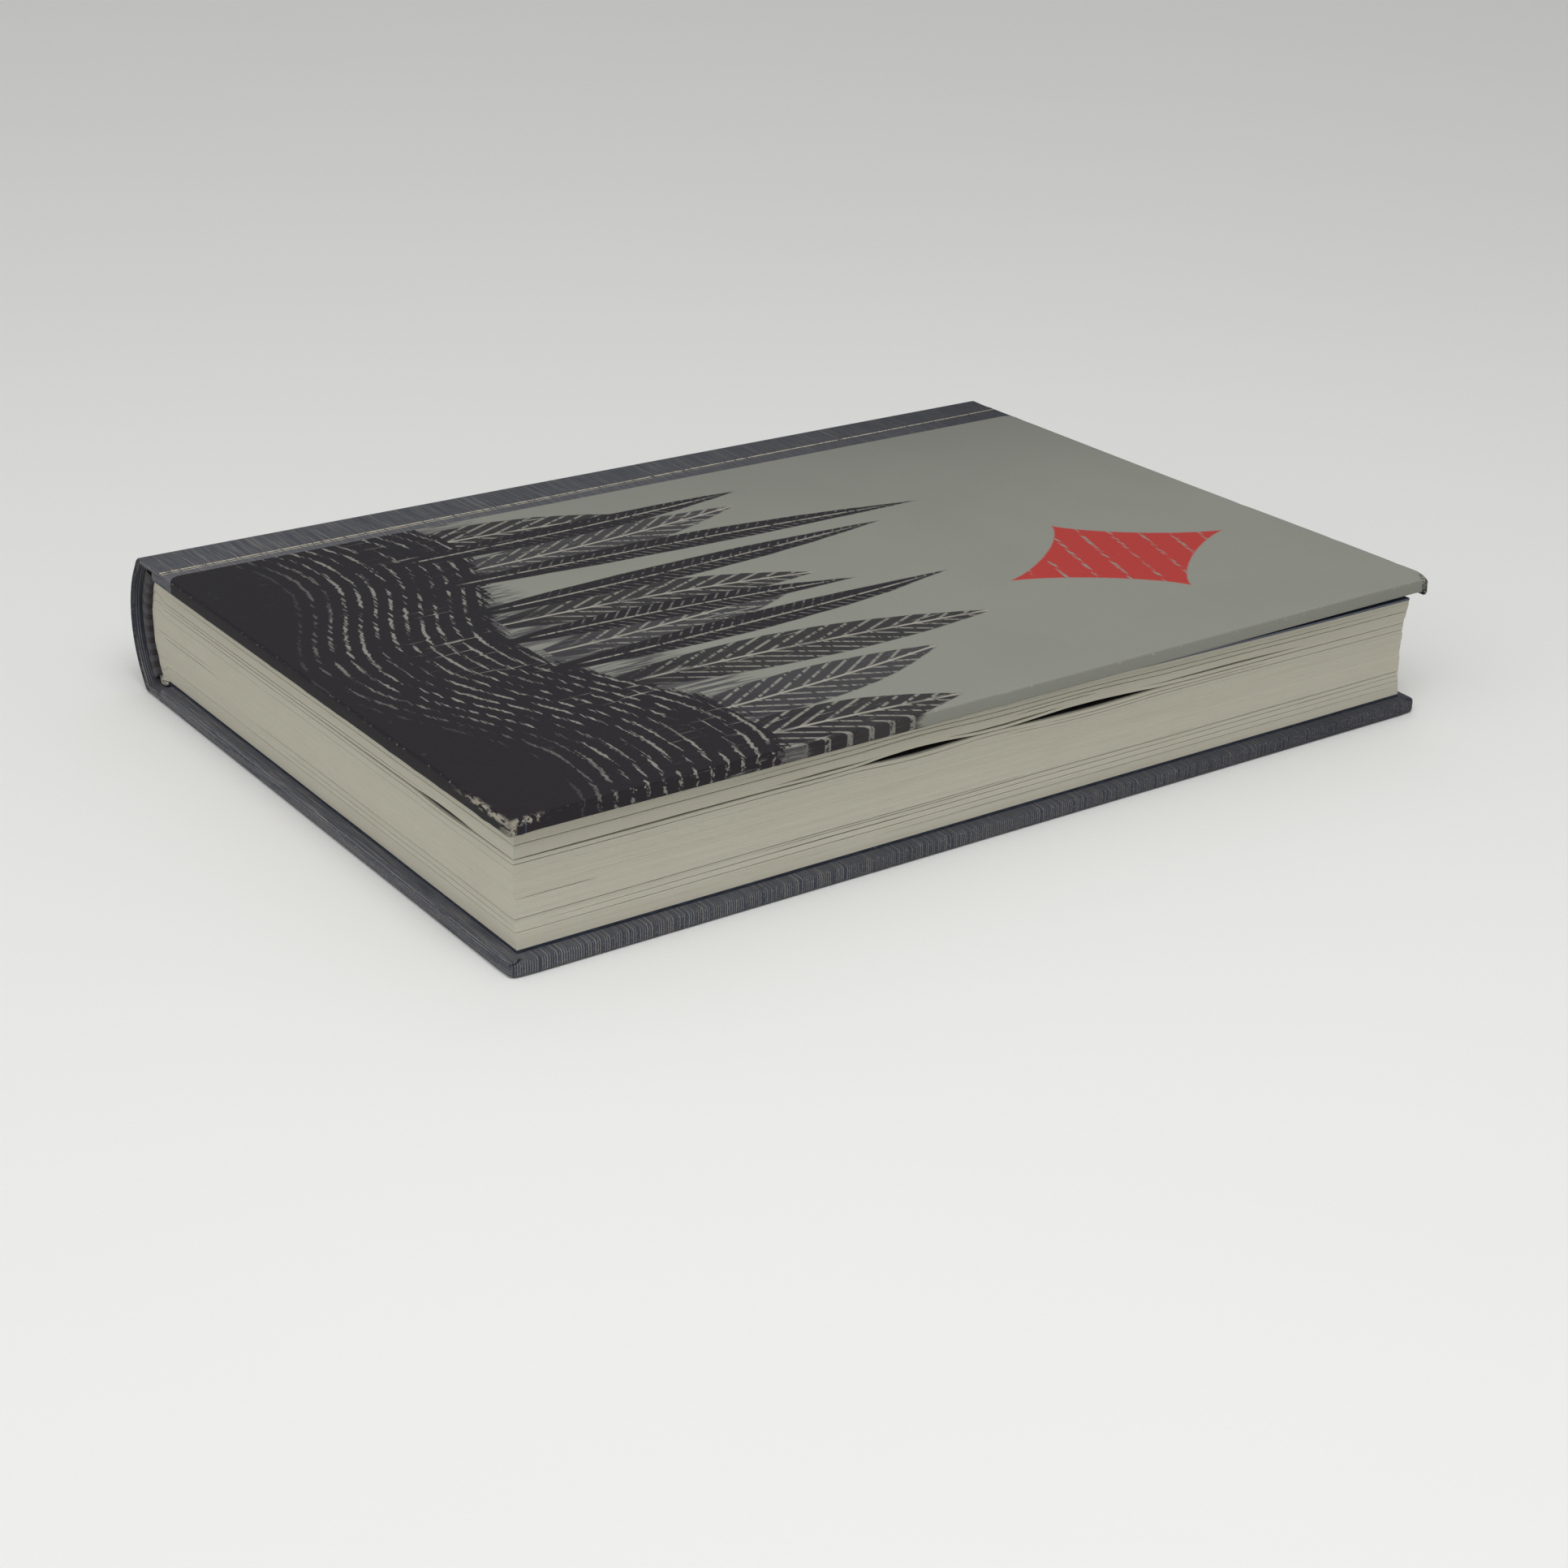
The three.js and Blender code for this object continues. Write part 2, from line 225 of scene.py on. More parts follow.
def slab(low, high, corner, edge, window=None, open_sides=(), step=3.0, fine=0.7, worn=9.0):
    """The skin of a board: a box surface with rounded edges, less a window below and its open sides."""
    spine_round, fore_round = "spine" not in open_sides, "fore" not in open_sides
    corner_shares = (0.75, 0.5, 0.25, 0.1)
    xs = places(low[0], high[0], corner if spine_round else 0, worn if fore_round else 0, step, fine)
    if fore_round:
        xs += [round(high[0] - corner * t, 5) for t in corner_shares]
    ys = places(low[1], high[1], worn, worn, step, fine)
    for t in corner_shares:
        ys += [round(low[1] + corner * t, 5), round(high[1] - corner * t, 5)]
    xs, ys = sorted(set(xs)), sorted(set(ys))
    zs = [low[2] + edge * t for t in (0, 0.35, 0.7, 1)] + [(low[2] + high[2]) / 2]
    zs += [high[2] - edge * t for t in (1, 0.7, 0.35, 0)]
    reach = (high[0] if fore_round else high[0] + corner + edge, high[1], high[2])
    vertices, faces, known = [], [], {}

    def face(*corners):
        for i, j, k in corners:
            if (i, j, k) not in known:
                known[i, j, k] = len(vertices)
                vertices.append(soften((xs[i], ys[j], zs[k]), low, reach, corner, edge, spine_round))
        faces.append([known[key] for key in corners])

    nx, ny, nz = len(xs) - 1, len(ys) - 1, len(zs) - 1
    for i in range(nx):
        for j in range(ny):
            face((i, j, nz), (i + 1, j, nz), (i + 1, j + 1, nz), (i, j + 1, nz))
            middle = ((xs[i] + xs[i + 1]) / 2, (ys[j] + ys[j + 1]) / 2)
            if window and middle[0] < window[0] and abs(middle[1]) < window[1]:
                continue
            face((i, j, 0), (i, j + 1, 0), (i + 1, j + 1, 0), (i + 1, j, 0))
    for k in range(nz):
        for i in range(nx):
            face((i, 0, k), (i + 1, 0, k), (i + 1, 0, k + 1), (i, 0, k + 1))
            face((i, ny, k), (i, ny, k + 1), (i + 1, ny, k + 1), (i + 1, ny, k))
        for j in range(ny):
            if fore_round:
                face((nx, j, k), (nx, j + 1, k), (nx, j + 1, k + 1), (nx, j, k + 1))
            if spine_round:
                face((0, j, k), (0, j, k + 1), (0, j + 1, k + 1), (0, j + 1, k))
    return vertices, faces


def grid(rows):
    """Vertices and faces of a sheet from rows of places."""
    width = len(rows[0])
    vertices = [point for row in rows for point in row]
    faces = []
    for i in range(len(rows) - 1):
        for j in range(width - 1):
            first = i * width + j
            faces.append([first, first + width, first + width + 1, first + 1])
    return vertices, faces


def joined(*parts):
    """Several meshes as one list of vertices and faces."""
    vertices, faces = [], []
    for part_vertices, part_faces in parts:
        start = len(vertices)
        vertices += list(part_vertices)
        faces += [[start + corner for corner in face] for face in part_faces]
    return vertices, faces


def curve_through(points, steps):
    """A smooth curve through points, with the same number of steps between each two."""
    ends = [2 * points[0] - points[1], *points, 2 * points[-1] - points[-2]]
    found = []
    for i in range(1, len(ends) - 2):
        p0, p1, p2, p3 = ends[i - 1:i + 3]
        for k in range(steps):
            t = k / steps
            found.append(0.5 * (2 * p1 + (p2 - p0) * t + (2 * p0 - 5 * p1 + 4 * p2 - p3) * t * t
                                + (3 * p1 - p0 - 3 * p2 + p3) * t ** 3))
    return found + [points[-1]]


def spine_section(depth, steps=4, cover=False):
    """The spine's section in X and Z, at a depth under its outer face, from upper to lower joint."""
    spine = SPINE - COVER_BULGE if cover else SPINE
    drop = COVER_DROP if cover else SHOULDER_DROP
    width = COVER_WIDTH if cover else SHOULDER_WIDTH
    half = MIDDLE - drop
    radius = (half * half + SPINE_RISE * SPINE_RISE) / (2 * SPINE_RISE)
    shoulder = spine + SPINE_RISE
    upper = [
        (HINGE_X + CUT_REACH, THICK - JOINT_DIP, 0, -1),
        (HINGE_X + CUT_REACH / 2, THICK - JOINT_DIP, 0, -1),
        (shoulder + width, THICK - SHOULDER_ROUND, 0.1, -1),
        (shoulder + width / 2.4, THICK - SHOULDER_ROUND - (0.2 if cover else 0.0), 0.5, -0.85),
    ]
    arc = []
    spread = math.asin(half / radius)
    for i in range(11):
        angle = spread * (1 - i / 5)
        across, up = math.cos(angle), math.sin(angle)
        arc.append((spine + radius * (1 - across), MIDDLE + radius * up, across, -up))
    lower = [(x, THICK - z, dx, -dz) for x, z, dx, dz in reversed(upper)]
    points = [np.array((x + dx * depth, z + dz * depth)) for x, z, dx, dz in upper + arc + lower]
    return curve_through(points, steps)


# Materials

def rgb(red, green, blue):
    """A colour given as on a screen."""
    def linear(value):
        value /= 255
        return value / 12.92 if value <= 0.04045 else ((value + 0.055) / 1.055) ** 2.4
    return (linear(red), linear(green), linear(blue), 1.0)


def maths(kind):
    """A method that joins a field and other fields or numbers by one kind of maths."""
    return lambda field, *others: field.math(kind, *others)


class Field:
    """A number that varies over a surface."""

    __add__, __sub__ = maths("ADD"), maths("SUBTRACT")
    __mul__, __truediv__ = maths("MULTIPLY"), maths("DIVIDE")
    sin, abs, power = maths("SINE"), maths("ABSOLUTE"), maths("POWER")
    less, more, above = maths("MINIMUM"), maths("MAXIMUM"), maths("GREATER_THAN")

    def __init__(self, tree, socket):
        self.tree = tree
        self.socket = socket

    def math(self, kind, *others):
        node = self.tree.nodes.new("ShaderNodeMath")
        node.operation = kind
        for slot, value in zip(node.inputs, (self, *others)):
            if isinstance(value, Field):
                self.tree.links.new(value.socket, slot)
            else:
                slot.default_value = value
        return Field(self.tree, node.outputs[0])

    def flipped(self):
        return self * -1.0 + 1.0

    def rise(self, low, high):
        """0 below low, 1 above high, smooth between."""
        node = self.tree.nodes.new("ShaderNodeMapRange")
        node.interpolation_type = "SMOOTHSTEP"
        self.tree.links.new(self.socket, node.inputs["Value"])
        node.inputs["From Min"].default_value = low
        node.inputs["From Max"].default_value = high
        return Field(self.tree, node.outputs["Result"])

    def swap(self, other, mask):
        """This field where the mask is 0, another where it is 1."""
        return self + (other - self) * mask


class Surface:
    """A material under construction: its places in mm, its colour so far and its relief."""

    def __init__(self, name, colour, roughness, sheen=0.0, specular=0.3):
        self.material = bpy.data.materials.new(name)
        self.material.use_nodes = True
        self.tree = self.material.node_tree
        self.node, self.link = self.tree.nodes.new, self.tree.links.new
        self.shader = self.tree.nodes["Principled BSDF"]
        self.shader.inputs["Roughness"].default_value = roughness
        self.shader.inputs["Sheen Weight"].default_value = sheen
        self.shader.inputs["Specular IOR Level"].default_value = specular
        coordinates = self.node("ShaderNodeTexCoord")
        scaled = self.node("ShaderNodeVectorMath")
        scaled.operation = "SCALE"
        scaled.inputs["Scale"].default_value = 1 / MM
        self.link(coordinates.outputs["Object"], scaled.inputs[0])
        self.place = scaled.outputs[0]
        self.x, self.y, self.z = self.parts_of(self.place)
        self.nx, self.ny, self.nz = [n.abs() for n in self.parts_of(coordinates.outputs["Normal"])]
        base = self.node("ShaderNodeRGB")
        base.outputs[0].default_value = colour
        self.colour = base.outputs[0]

    def parts_of(self, socket):
        node = self.node("ShaderNodeSeparateXYZ")
        self.link(socket, node.inputs[0])
        return [Field(self.tree, out) for out in node.outputs]

    def noise(self, size, detail=3.0, stretch=(1, 1, 1), seed=0.0, roughness=0.55):
        """Noise from 0 to 1, with features of a size in mm, longer along the stretched ways."""
        mapped = self.node("ShaderNodeMapping")
        self.link(self.place, mapped.inputs["Vector"])
        mapped.inputs["Scale"].default_value = [1 / (size * way) for way in stretch]
        mapped.inputs["Location"].default_value = (seed, seed * 1.7, seed * 0.6)
        node = self.node("ShaderNodeTexNoise")
        self.link(mapped.outputs[0], node.inputs["Vector"])
        node.inputs["Scale"].default_value = 1.0
        node.inputs["Detail"].default_value = detail
        node.inputs["Roughness"].default_value = roughness
        return Field(self.tree, node.outputs[0])

    def paint(self, mask, colour):
        """Lays a colour over what is there, where the mask is 1."""
        node = self.node("ShaderNodeMix")
        node.data_type = "RGBA"
        self.link(mask.socket, node.inputs[0])
        self.link(self.colour, node.inputs[6])
        node.inputs[7].default_value = colour
        self.colour = node.outputs[2]

    def done(self, relief=None, depth=0.1):
        """Ends the material, with relief from a field times a depth in mm."""
        self.link(self.colour, self.shader.inputs["Base Color"])
        if relief:
            bump = self.node("ShaderNodeBump")
            bump.inputs["Distance"].default_value = depth * MM
            bump.inputs["Strength"].default_value = 1.0
            self.link(relief.socket, bump.inputs["Height"])
            self.link(bump.outputs[0], self.shader.inputs["Normal"])
        return self.material


CLOTH_GROUND = rgb(80, 81, 86)
NAVY = rgb(36, 44, 70)
THREAD = rgb(112, 112, 112)
PALE_THREAD = rgb(160, 155, 143)
GROUND = rgb(141, 142, 133)
DARK_INK = rgb(31, 28, 33)
RED_INK = rgb(176, 55, 50)
PAGE = rgb(188, 185, 170)
# Endpaper slate, partly painted shade: set dark so that the lower leaves' edges look shaded
SLATE = rgb(62, 68, 86)


def edge_wear(s, outer=0.9):
    """Near the cover's outer edges and corners: 1 at the edge, 0 further in."""
    from_fore = (s.x * -1.0) + FORE
    from_end = (s.y.abs() * -1.0) + HALF
    return from_fore.less(from_end).rise(0.0, outer).flipped()


THREAD_PITCH = 0.5
# The strip's pale lines are painted highlights along the joint groove's edges
GROOVE_HIGHLIGHT = BOARD_LOW[0] + 2.9  # X of the strip's pale line at the middle of the book
GROOVE_HIGHLIGHT_DRIFT = 1.3  # how much nearer the spine it is at the head


def cloth_material():
    """Woven book cloth in navy and grey, uneven on the flat and more regular on the sides."""
    s = Surface("book_cloth", CLOTH_GROUND, 0.95, sheen=0.1, specular=0.1)
    facing_x = s.nx.above(0.72)
    facing_y = s.ny.above(0.72)
    across = s.x.swap(s.z, facing_x)
    along = s.y.swap(s.z, facing_y)
    drift = s.noise(7.0, 2.0) * 0.25
    thread_a = ((across + drift) * (2 * math.pi / THREAD_PITCH)).sin()
    thread_b = ((along + drift) * (2 * math.pi / THREAD_PITCH)).sin()
    weave = thread_a * thread_b
    s.paint(weave.rise(-0.1, 0.5) * 0.7, NAVY)
    s.paint(weave.rise(0.0, 0.7).flipped() * 0.35, THREAD)
    uneven = s.noise(0.5, 2.0, stretch=(26, 1, 26), seed=8.0)
    on_tail = s.noise(0.5, 2.0, stretch=(26, 26, 1), seed=6.0)
    strong = uneven.swap(on_tail, facing_y)
    on_side = facing_x.more(facing_y)
    s.paint(thread_b.rise(-0.9, 0.0).flipped() * on_side * 0.6, NAVY)
    s.paint(thread_b.rise(0.0, 0.9) * on_side * strong.rise(0.3, 0.5) * 0.6, rgb(146, 145, 143))
    s.paint(strong.rise(0.46, 0.6) * thread_b.rise(-0.6, 0.8) * on_side.flipped() * 0.8, THREAD)
    s.paint(strong.rise(0.57, 0.68) * thread_b.rise(-0.2, 0.8) * 0.6, PALE_THREAD)
    s.paint(strong.rise(0.32, 0.44).flipped() * 0.55, NAVY)
    s.paint(s.noise(0.5, 2.0, stretch=(1, 14, 1), seed=3.0).rise(0.58, 0.75) * 0.35, NAVY)
    # Darker towards the head, where far is 1
    far = (s.y * (1 / (2 * HALF)) + 0.5).less(1.0).more(0.0)
    s.paint(s.noise(24.0, 3.0, seed=5.0).rise(0.3, 0.8) * 0.2 + far.power(1.2) * 0.65, rgb(36, 38, 48))
    # Painted highlights: the strip's pale line along the joint groove and a fainter one beside it, over the
    # strip beyond them made lighter, less so towards the head
    top = s.nz.above(0.6) * s.z.above(MIDDLE)
    from_line = (s.x + s.y * (GROOVE_HIGHLIGHT_DRIFT / HALF)) - GROOVE_HIGHLIGHT
    breaks = s.noise(0.5, 2.0, (30, 1, 1), 4.0).rise(0.34, 0.5) * far.rise(0.7, 1.4).flipped()
    line = from_line.abs().rise(0.14, 0.38).flipped() * breaks
    second_highlight = (from_line - 1.0).abs().rise(0.08, 0.26).flipped() * breaks * far.rise(0.3, 0.8).flipped()
    s.paint(from_line.above(1.2) * top * far.flipped() * 0.3, rgb(124, 124, 128))
    s.paint(line.more(second_highlight * 0.8) * top * 0.9, rgb(212, 204, 180))
    # Dark folds at the spine's ends, and rubbed outer edges
    end_fold = facing_y * s.x.above(HINGE_X + 0.5).flipped()
    s.paint(end_fold * 0.8, rgb(24, 25, 33))
    rub = edge_wear(s, 1.1) * s.noise(0.5, 4.0, seed=2.0).rise(0.5, 0.72)
    s.paint(rub * 0.3, PALE_THREAD)
    # Painted shade in the slit of the folded corner on the back board
    t = (s.y.abs() * -1.0 + HALF) * (1 / 4.6)
    below = t.less(1.0).flipped().power(2.5) * 1.1
    slit_shade = (s.z - BACK_COVER_TOP + below).abs().rise(0.03, 0.13).flipped()
    s.paint(slit_shade * s.x.above(FORE - 1.3) * t.above(1.0).flipped() * 0.95, rgb(12, 12, 18))
    relief = thread_a.abs() * 0.5 + thread_b.abs() * 0.5 + strong * 0.8
    return s.done(relief, 0.12)


def reed_mask(s, x, foot, height, width, lean, rough):
    """A tall leaf that stands on a foot and leans as it rises."""
    t = (s.y - foot) / height
    t_in = t.more(0.0).less(1.0)
    half = (t_in.flipped().power(2.0) * (width / 5)) + (t_in * t_in.flipped() * (2 * width))
    off = (s.x - (t_in.power(2.0) * lean + x)).abs()
    inside = (half - off + rough * 1.2).rise(0.35, 0.85)
    return inside * t.above(0.0) * t.flipped().above(0.0), off, t_in


# The printed design, in mm from the siding's spine edge and its tail edge
FAR_HILLS = 66.0
NEAR_HILLS = 52.0
LEAF_FOOT = 46.0
LEAF_WIDTH = 15.0
BACK_LEAVES = (  # place, height and lean
    (12.0, 60.0, 5.0), (31.0, 84.0, -7.0), (62.0, 74.0, 8.0), (80.0, 66.0, -6.0),
    (101.0, 92.0, 7.0), (122.0, 70.0, -5.0), (136.0, 58.0, 4.0),
)
REED_FOOT = 42.0
REED_WIDTH = 9.0
REED_START = 20.0
REED_SPACING = 17.0
REED_HEIGHTS = (96.0, 128.0, 112.0, 84.0, 104.0)
REED_LEANS = (-4.5, 6.3, -4.5, 6.3, -4.5)


def siding_material():
    """Grey paper printed with dark reeds over hills and one red lozenge, in dry brush strokes."""
    s = Surface("printed_siding", GROUND, 0.68, specular=0.18)
    left = PAPER_LOW[0]
    width = FORE - left
    grain = s.noise(0.5, 3.0, seed=1.0)
    strokes = s.noise(1.1, 4.0, stretch=(1, 18, 1), seed=4.0, roughness=0.65)
    cross_strokes = s.noise(1.0, 4.0, stretch=(16, 1, 1), seed=6.0, roughness=0.65)
    s.paint(s.noise(30.0, 3.0).rise(0.3, 0.8) * 0.25, rgb(128, 129, 121))
    # Darker towards the spine and the head
    spine_head_darkening = (((s.x * -1.0) + 20.0) * (1 / 80.0)).more(0.0).less(1.0).power(1.5)
    s.paint(spine_head_darkening * ((s.y * (0.5 / HALF)) + 0.5) * 0.3, rgb(70, 70, 68))
    # The hills, one behind the other
    wave = ((s.x - left) * (2 * math.pi * 1.3 / width) + 0.6).sin()
    far_wave = ((s.x - left) * (2 * math.pi * 0.9 / width) + 2.6).sin()
    over_far = (s.y + HALF - FAR_HILLS) - far_wave * 10.0
    over_near = (s.y + HALF - NEAR_HILLS) - wave * 9.0
    far_ink = (over_far + (strokes - 0.5) * 46.0).rise(-1.5, 1.5).flipped()
    s.paint(far_ink * strokes.rise(0.36, 0.56) * 0.9, rgb(66, 63, 68))
    for i, (at, height, leaning) in enumerate(BACK_LEAVES):
        mask, off, t = reed_mask(s, left + at, -HALF + LEAF_FOOT, height, LEAF_WIDTH, leaning, strokes - 0.5)
        ink = rgb(52, 50, 55) if i % 2 else DARK_INK
        s.paint(mask * (strokes + grain * 0.12).rise(0.36, 0.44) * 0.92, ink)
        ribs = ((off - s.y * 0.55) * (math.pi / 3.1)).sin().abs().rise(0.88, 0.96)
        s.paint(ribs * mask * t.rise(0.05, 0.25) * cross_strokes.rise(0.4, 0.5) * 0.75, rgb(148, 146, 137))
        s.paint(off.rise(0.2, 0.5).flipped() * mask * strokes.rise(0.35, 0.45) * 0.85, rgb(168, 165, 154))
    near_ink = (over_near + (cross_strokes - 0.5) * 9.0 + (strokes - 0.5) * 8.0).rise(-0.4, 0.4).flipped()
    s.paint(near_ink, DARK_INK)
    # Pale contour lines, worn through in places
    bands = ((over_near + (strokes - 0.5) * 2.0) * (math.pi / 3.4)).sin().abs()
    contour = bands.rise(0.9, 0.97) * near_ink * over_near.rise(-46.0, -30.0)
    s.paint(contour * cross_strokes.rise(0.48, 0.56) * 0.8, rgb(150, 148, 140))
    s.paint(near_ink * strokes.rise(0.62, 0.7) * over_near.rise(-26.0, -4.0) * 0.8, rgb(160, 158, 149))
    # The lozenge
    lozenge_low, lozenge_high = box_of("cover_print_red")
    centre = (lozenge_low + lozenge_high) / 2
    reach = (lozenge_high - lozenge_low) / 2
    dx = (s.x - centre[0]).abs() / reach[0]
    dy = (s.y - centre[1]).abs() / reach[1]
    far_out = dx.power(0.78) + dy.power(0.78) + (grain - 0.5) * 0.03
    lozenge = far_out.rise(0.985, 1.015).flipped()
    s.paint(lozenge, RED_INK)
    arcs = ((s.y - centre[1] + (s.x - centre[0]) * 0.35) * (math.pi / 7.0)).sin().abs()
    pale = arcs.rise(0.965, 0.99) * (cross_strokes + (grain - 0.5) * 0.3).rise(0.5, 0.54) * lozenge
    s.paint(pale * 0.9, rgb(140, 138, 130))
    # The reeds, with a pale rib in each
    for i, (height, lean) in enumerate(zip(REED_HEIGHTS, REED_LEANS)):
        x = left + REED_START + i * REED_SPACING
        mask, off, t = reed_mask(s, x, -HALF + REED_FOOT, height, REED_WIDTH, lean, strokes - 0.5)
        s.paint(mask * (strokes + grain * 0.1).rise(0.3, 0.36), DARK_INK)
        rib = off.rise(0.18, 0.42).flipped() * t.rise(0.05, 0.1) * t.rise(0.8, 0.95).flipped()
        s.paint(rib * mask * cross_strokes.rise(0.35, 0.5) * 0.8, rgb(165, 163, 152))
        veins = ((off * 0.9 - s.y) * (math.pi / 2.6)).sin().abs().rise(0.9, 0.98)
        s.paint(veins * mask * (t.rise(0.1, 0.3)) * strokes.rise(0.45, 0.6) * 0.55, rgb(140, 139, 131))
    # Dust, painted shade on the sides, rubbing and the pale core of the paper at the edges
    s.paint(s.noise(3.0, 5.0, seed=9.0, roughness=0.7).rise(0.62, 0.8) * 0.12, rgb(168, 166, 156))
    # Painted shade: every face that does not face up is made darker
    side = s.nz.above(0.5).flipped()
    s.paint(side * 0.16, rgb(58, 56, 54))
    on_edge = edge_wear(s, 0.55) * s.z.above(THICK - 0.5)
    rub = on_edge * s.noise(0.8, 5.0, seed=2.0, roughness=0.7).rise(0.6, 0.7)
    s.paint(rub * 0.8, rgb(190, 184, 164))
    # Wear, and painted shade of a crease, at the tail's fore edge corner
    near_corner = (s.x - (FORE - 1.0)).abs().more((s.y + (HALF - 1.0)).abs() * 2.5)
    worn = near_corner * -0.007 + s.noise(0.9, 5.0, (3, 1, 1), 7.0, 0.7)
    on_top_edge = (s.z - (THICK - 0.7)).abs().rise(0.3, 1.0).flipped()
    on_top_edge = on_top_edge.more(near_corner.rise(1.2, 2.6).flipped())
    rubbed = worn.rise(0.41, 0.5) * edge_wear(s, 1.2) * on_top_edge
    s.paint(rubbed * near_corner.rise(8.0, 20.0).flipped() * 0.8, rgb(170, 165, 150))
    # Painted shade: a dark line where the paper is creased on the fore side
    crease_shade = (s.y + (HALF - 3.6)).abs().rise(0.08, 0.25).flipped() * s.nx.above(0.6)
    s.paint(crease_shade * 0.5, rgb(70, 78, 100))
    # Torn paper at the head's fore edge corner
    torn = (((s.x * -1.0) + FORE).power(2.0) + ((s.y * -1.0) + HALF).power(2.0)).power(0.5)
    torn = (torn + s.noise(1.2, 4.0, seed=12.0) * 2.6).rise(4.0, 4.4).flipped()
    s.paint(torn * 0.85, rgb(44, 43, 48))
    s.paint(torn * s.noise(0.7, 3.0, (1, 3, 1), 13.0).rise(0.5, 0.55) * 0.9, rgb(150, 146, 132))
    return s.done(grain * 0.4 + s.noise(2.5, 3.0, seed=3.0), 0.06)


def page_material():
    """The cut edges of uncoated leaves: smooth, with fine lines along them, and painted shade inside the
    gaps.
    """
    s = Surface("page_edges", PAGE, 0.9, specular=0.12)
    lines = s.noise(0.14, 2.0, stretch=(120, 120, 1), seed=2.0)
    sections = s.noise(1.1, 2.0, stretch=(90, 90, 1), seed=5.0)
    s.paint(sections.rise(0.45, 0.7) * 0.22, rgb(178, 174, 158))
    s.paint(lines.rise(0.5, 0.8) * 0.3, rgb(158, 154, 140))
    s.paint(s.noise(0.35, 2.0, seed=4.0).rise(0.4, 0.7) * 0.12, rgb(170, 166, 150))
    s.paint(s.noise(14.0, 4.0, seed=7.0).rise(0.45, 0.8) * 0.15, rgb(176, 170, 150))
    dashes = s.noise(0.13, 2.0, stretch=(24, 24, 1), seed=11.0).rise(0.72, 0.78)
    s.paint(dashes * 0.4, rgb(112, 108, 100))
    # Painted shade: near black where the edge lies deeper than the block's face, inside the gaps
    height = ((s.z - MIDDLE) / (MIDDLE - PAGES_BOTTOM)).power(2.0)
    from_fore = (s.x * -1.0) + (PAGES_HIGH[0] - HOLLOW) + (height * HOLLOW)
    from_end = (s.y.abs() * -1.0) + PAGES_HALF
    inside = from_fore.less(from_end).rise(0.3, 1.0)
    s.paint(inside * 0.97, rgb(22, 21, 27))
    return s.done(lines, 0.02)


def endpaper_material():
    """Slate-blue endpaper with a laid grain, greyer on its cut edges, and painted shade on the cut edges
    below the middle.
    """
    s = Surface("endpaper", SLATE, 0.85, specular=0.2)
    from_end = (s.y.abs() * -1.0) + PAGES_HALF
    from_fore = (s.x * -1.0) + PASTEDOWN_HIGH[0]
    cut = from_end.less(from_fore).above(0.04).flipped()
    s.paint(cut * 0.9, rgb(108, 111, 124))
    # Painted shade: the cut edges below the middle, in the gap over the back board
    s.paint(cut * s.z.above(MIDDLE).flipped() * 0.9, rgb(34, 35, 46))
    s.paint(s.noise(0.4, 3.0, stretch=(1, 6, 1)).rise(0.4, 0.7) * 0.3, rgb(92, 101, 120))
    s.paint(s.noise(25.0, 4.0, seed=3.0).rise(0.45, 0.75) * 0.3, rgb(64, 73, 92))
    s.paint(s.noise(0.9, 4.0, seed=6.0).rise(0.66, 0.74) * 0.3, rgb(120, 126, 138))
    return s.done(s.noise(0.3, 3.0, seed=1.0), 0.05)


def board_material():
    """Grey pulp board."""
    s = Surface("binders_board", rgb(140, 129, 113), 0.95, specular=0.1)
    s.paint(s.noise(0.35, 3.0, stretch=(6, 6, 1)).rise(0.4, 0.7) * 0.5, rgb(112, 102, 88))
    s.paint(s.noise(0.8, 4.0, seed=4.0).rise(0.6, 0.7) * 0.4, rgb(176, 166, 148))
    return s.done(s.noise(0.4, 4.0, seed=2.0), 0.12)


def lining_material():
    """Mull under glued paper: an open square mesh showing through."""
    s = Surface("spine_lining", rgb(185, 176, 154), 0.95, specular=0.1)
    threads = (s.z * (math.pi / 0.9)).sin().abs().more((s.y * (math.pi / 0.9)).sin().abs())
    s.paint(threads.rise(0.9, 0.98) * 0.4, rgb(212, 204, 184))
    s.paint(s.noise(5.0, 4.0).rise(0.4, 0.7) * 0.4, rgb(150, 132, 98))
    return s.done(threads, 0.08)


def band_material():
    """A woven band: dark with paler raised ribs."""
    s = Surface("end_band", rgb(42, 36, 37), 0.85, sheen=0.2, specular=0.2)
    twist = ((s.z + s.x * 0.6) * (math.pi / 0.28)).sin().abs()
    s.paint(twist.rise(0.3, 0.9) * 0.35, rgb(64, 58, 60))
    s.paint(s.noise(0.4, 3.0).rise(0.5, 0.7) * 0.4, rgb(30, 26, 28))
    return s.done(twist, 0.06)


def rib_material():
    """The band's grey silk ribs."""
    s = Surface("band_rib", rgb(60, 59, 63), 0.8, sheen=0.2, specular=0.2)
    twist = ((s.y + s.x) * (math.pi / 0.22)).sin().abs()
    s.paint(twist.rise(0.4, 0.9) * 0.3, rgb(72, 71, 77))
    s.paint(s.noise(0.5, 3.0).rise(0.5, 0.75) * 0.4, rgb(44, 42, 46))
    return s.done(twist, 0.05)


def fibre_material():
    """Torn paper fibre."""
    s = Surface("torn_fibre", rgb(66, 64, 68), 0.95, specular=0.1)
    s.paint(s.noise(0.8, 4.0, (1, 1, 2), 3.0).rise(0.5, 0.58), rgb(142, 138, 124))
    s.paint(s.noise(0.5, 3.0, seed=5.0).rise(0.56, 0.62), rgb(32, 31, 38))
    return s.done(s.noise(0.2, 3.0, seed=2.0), 0.08)


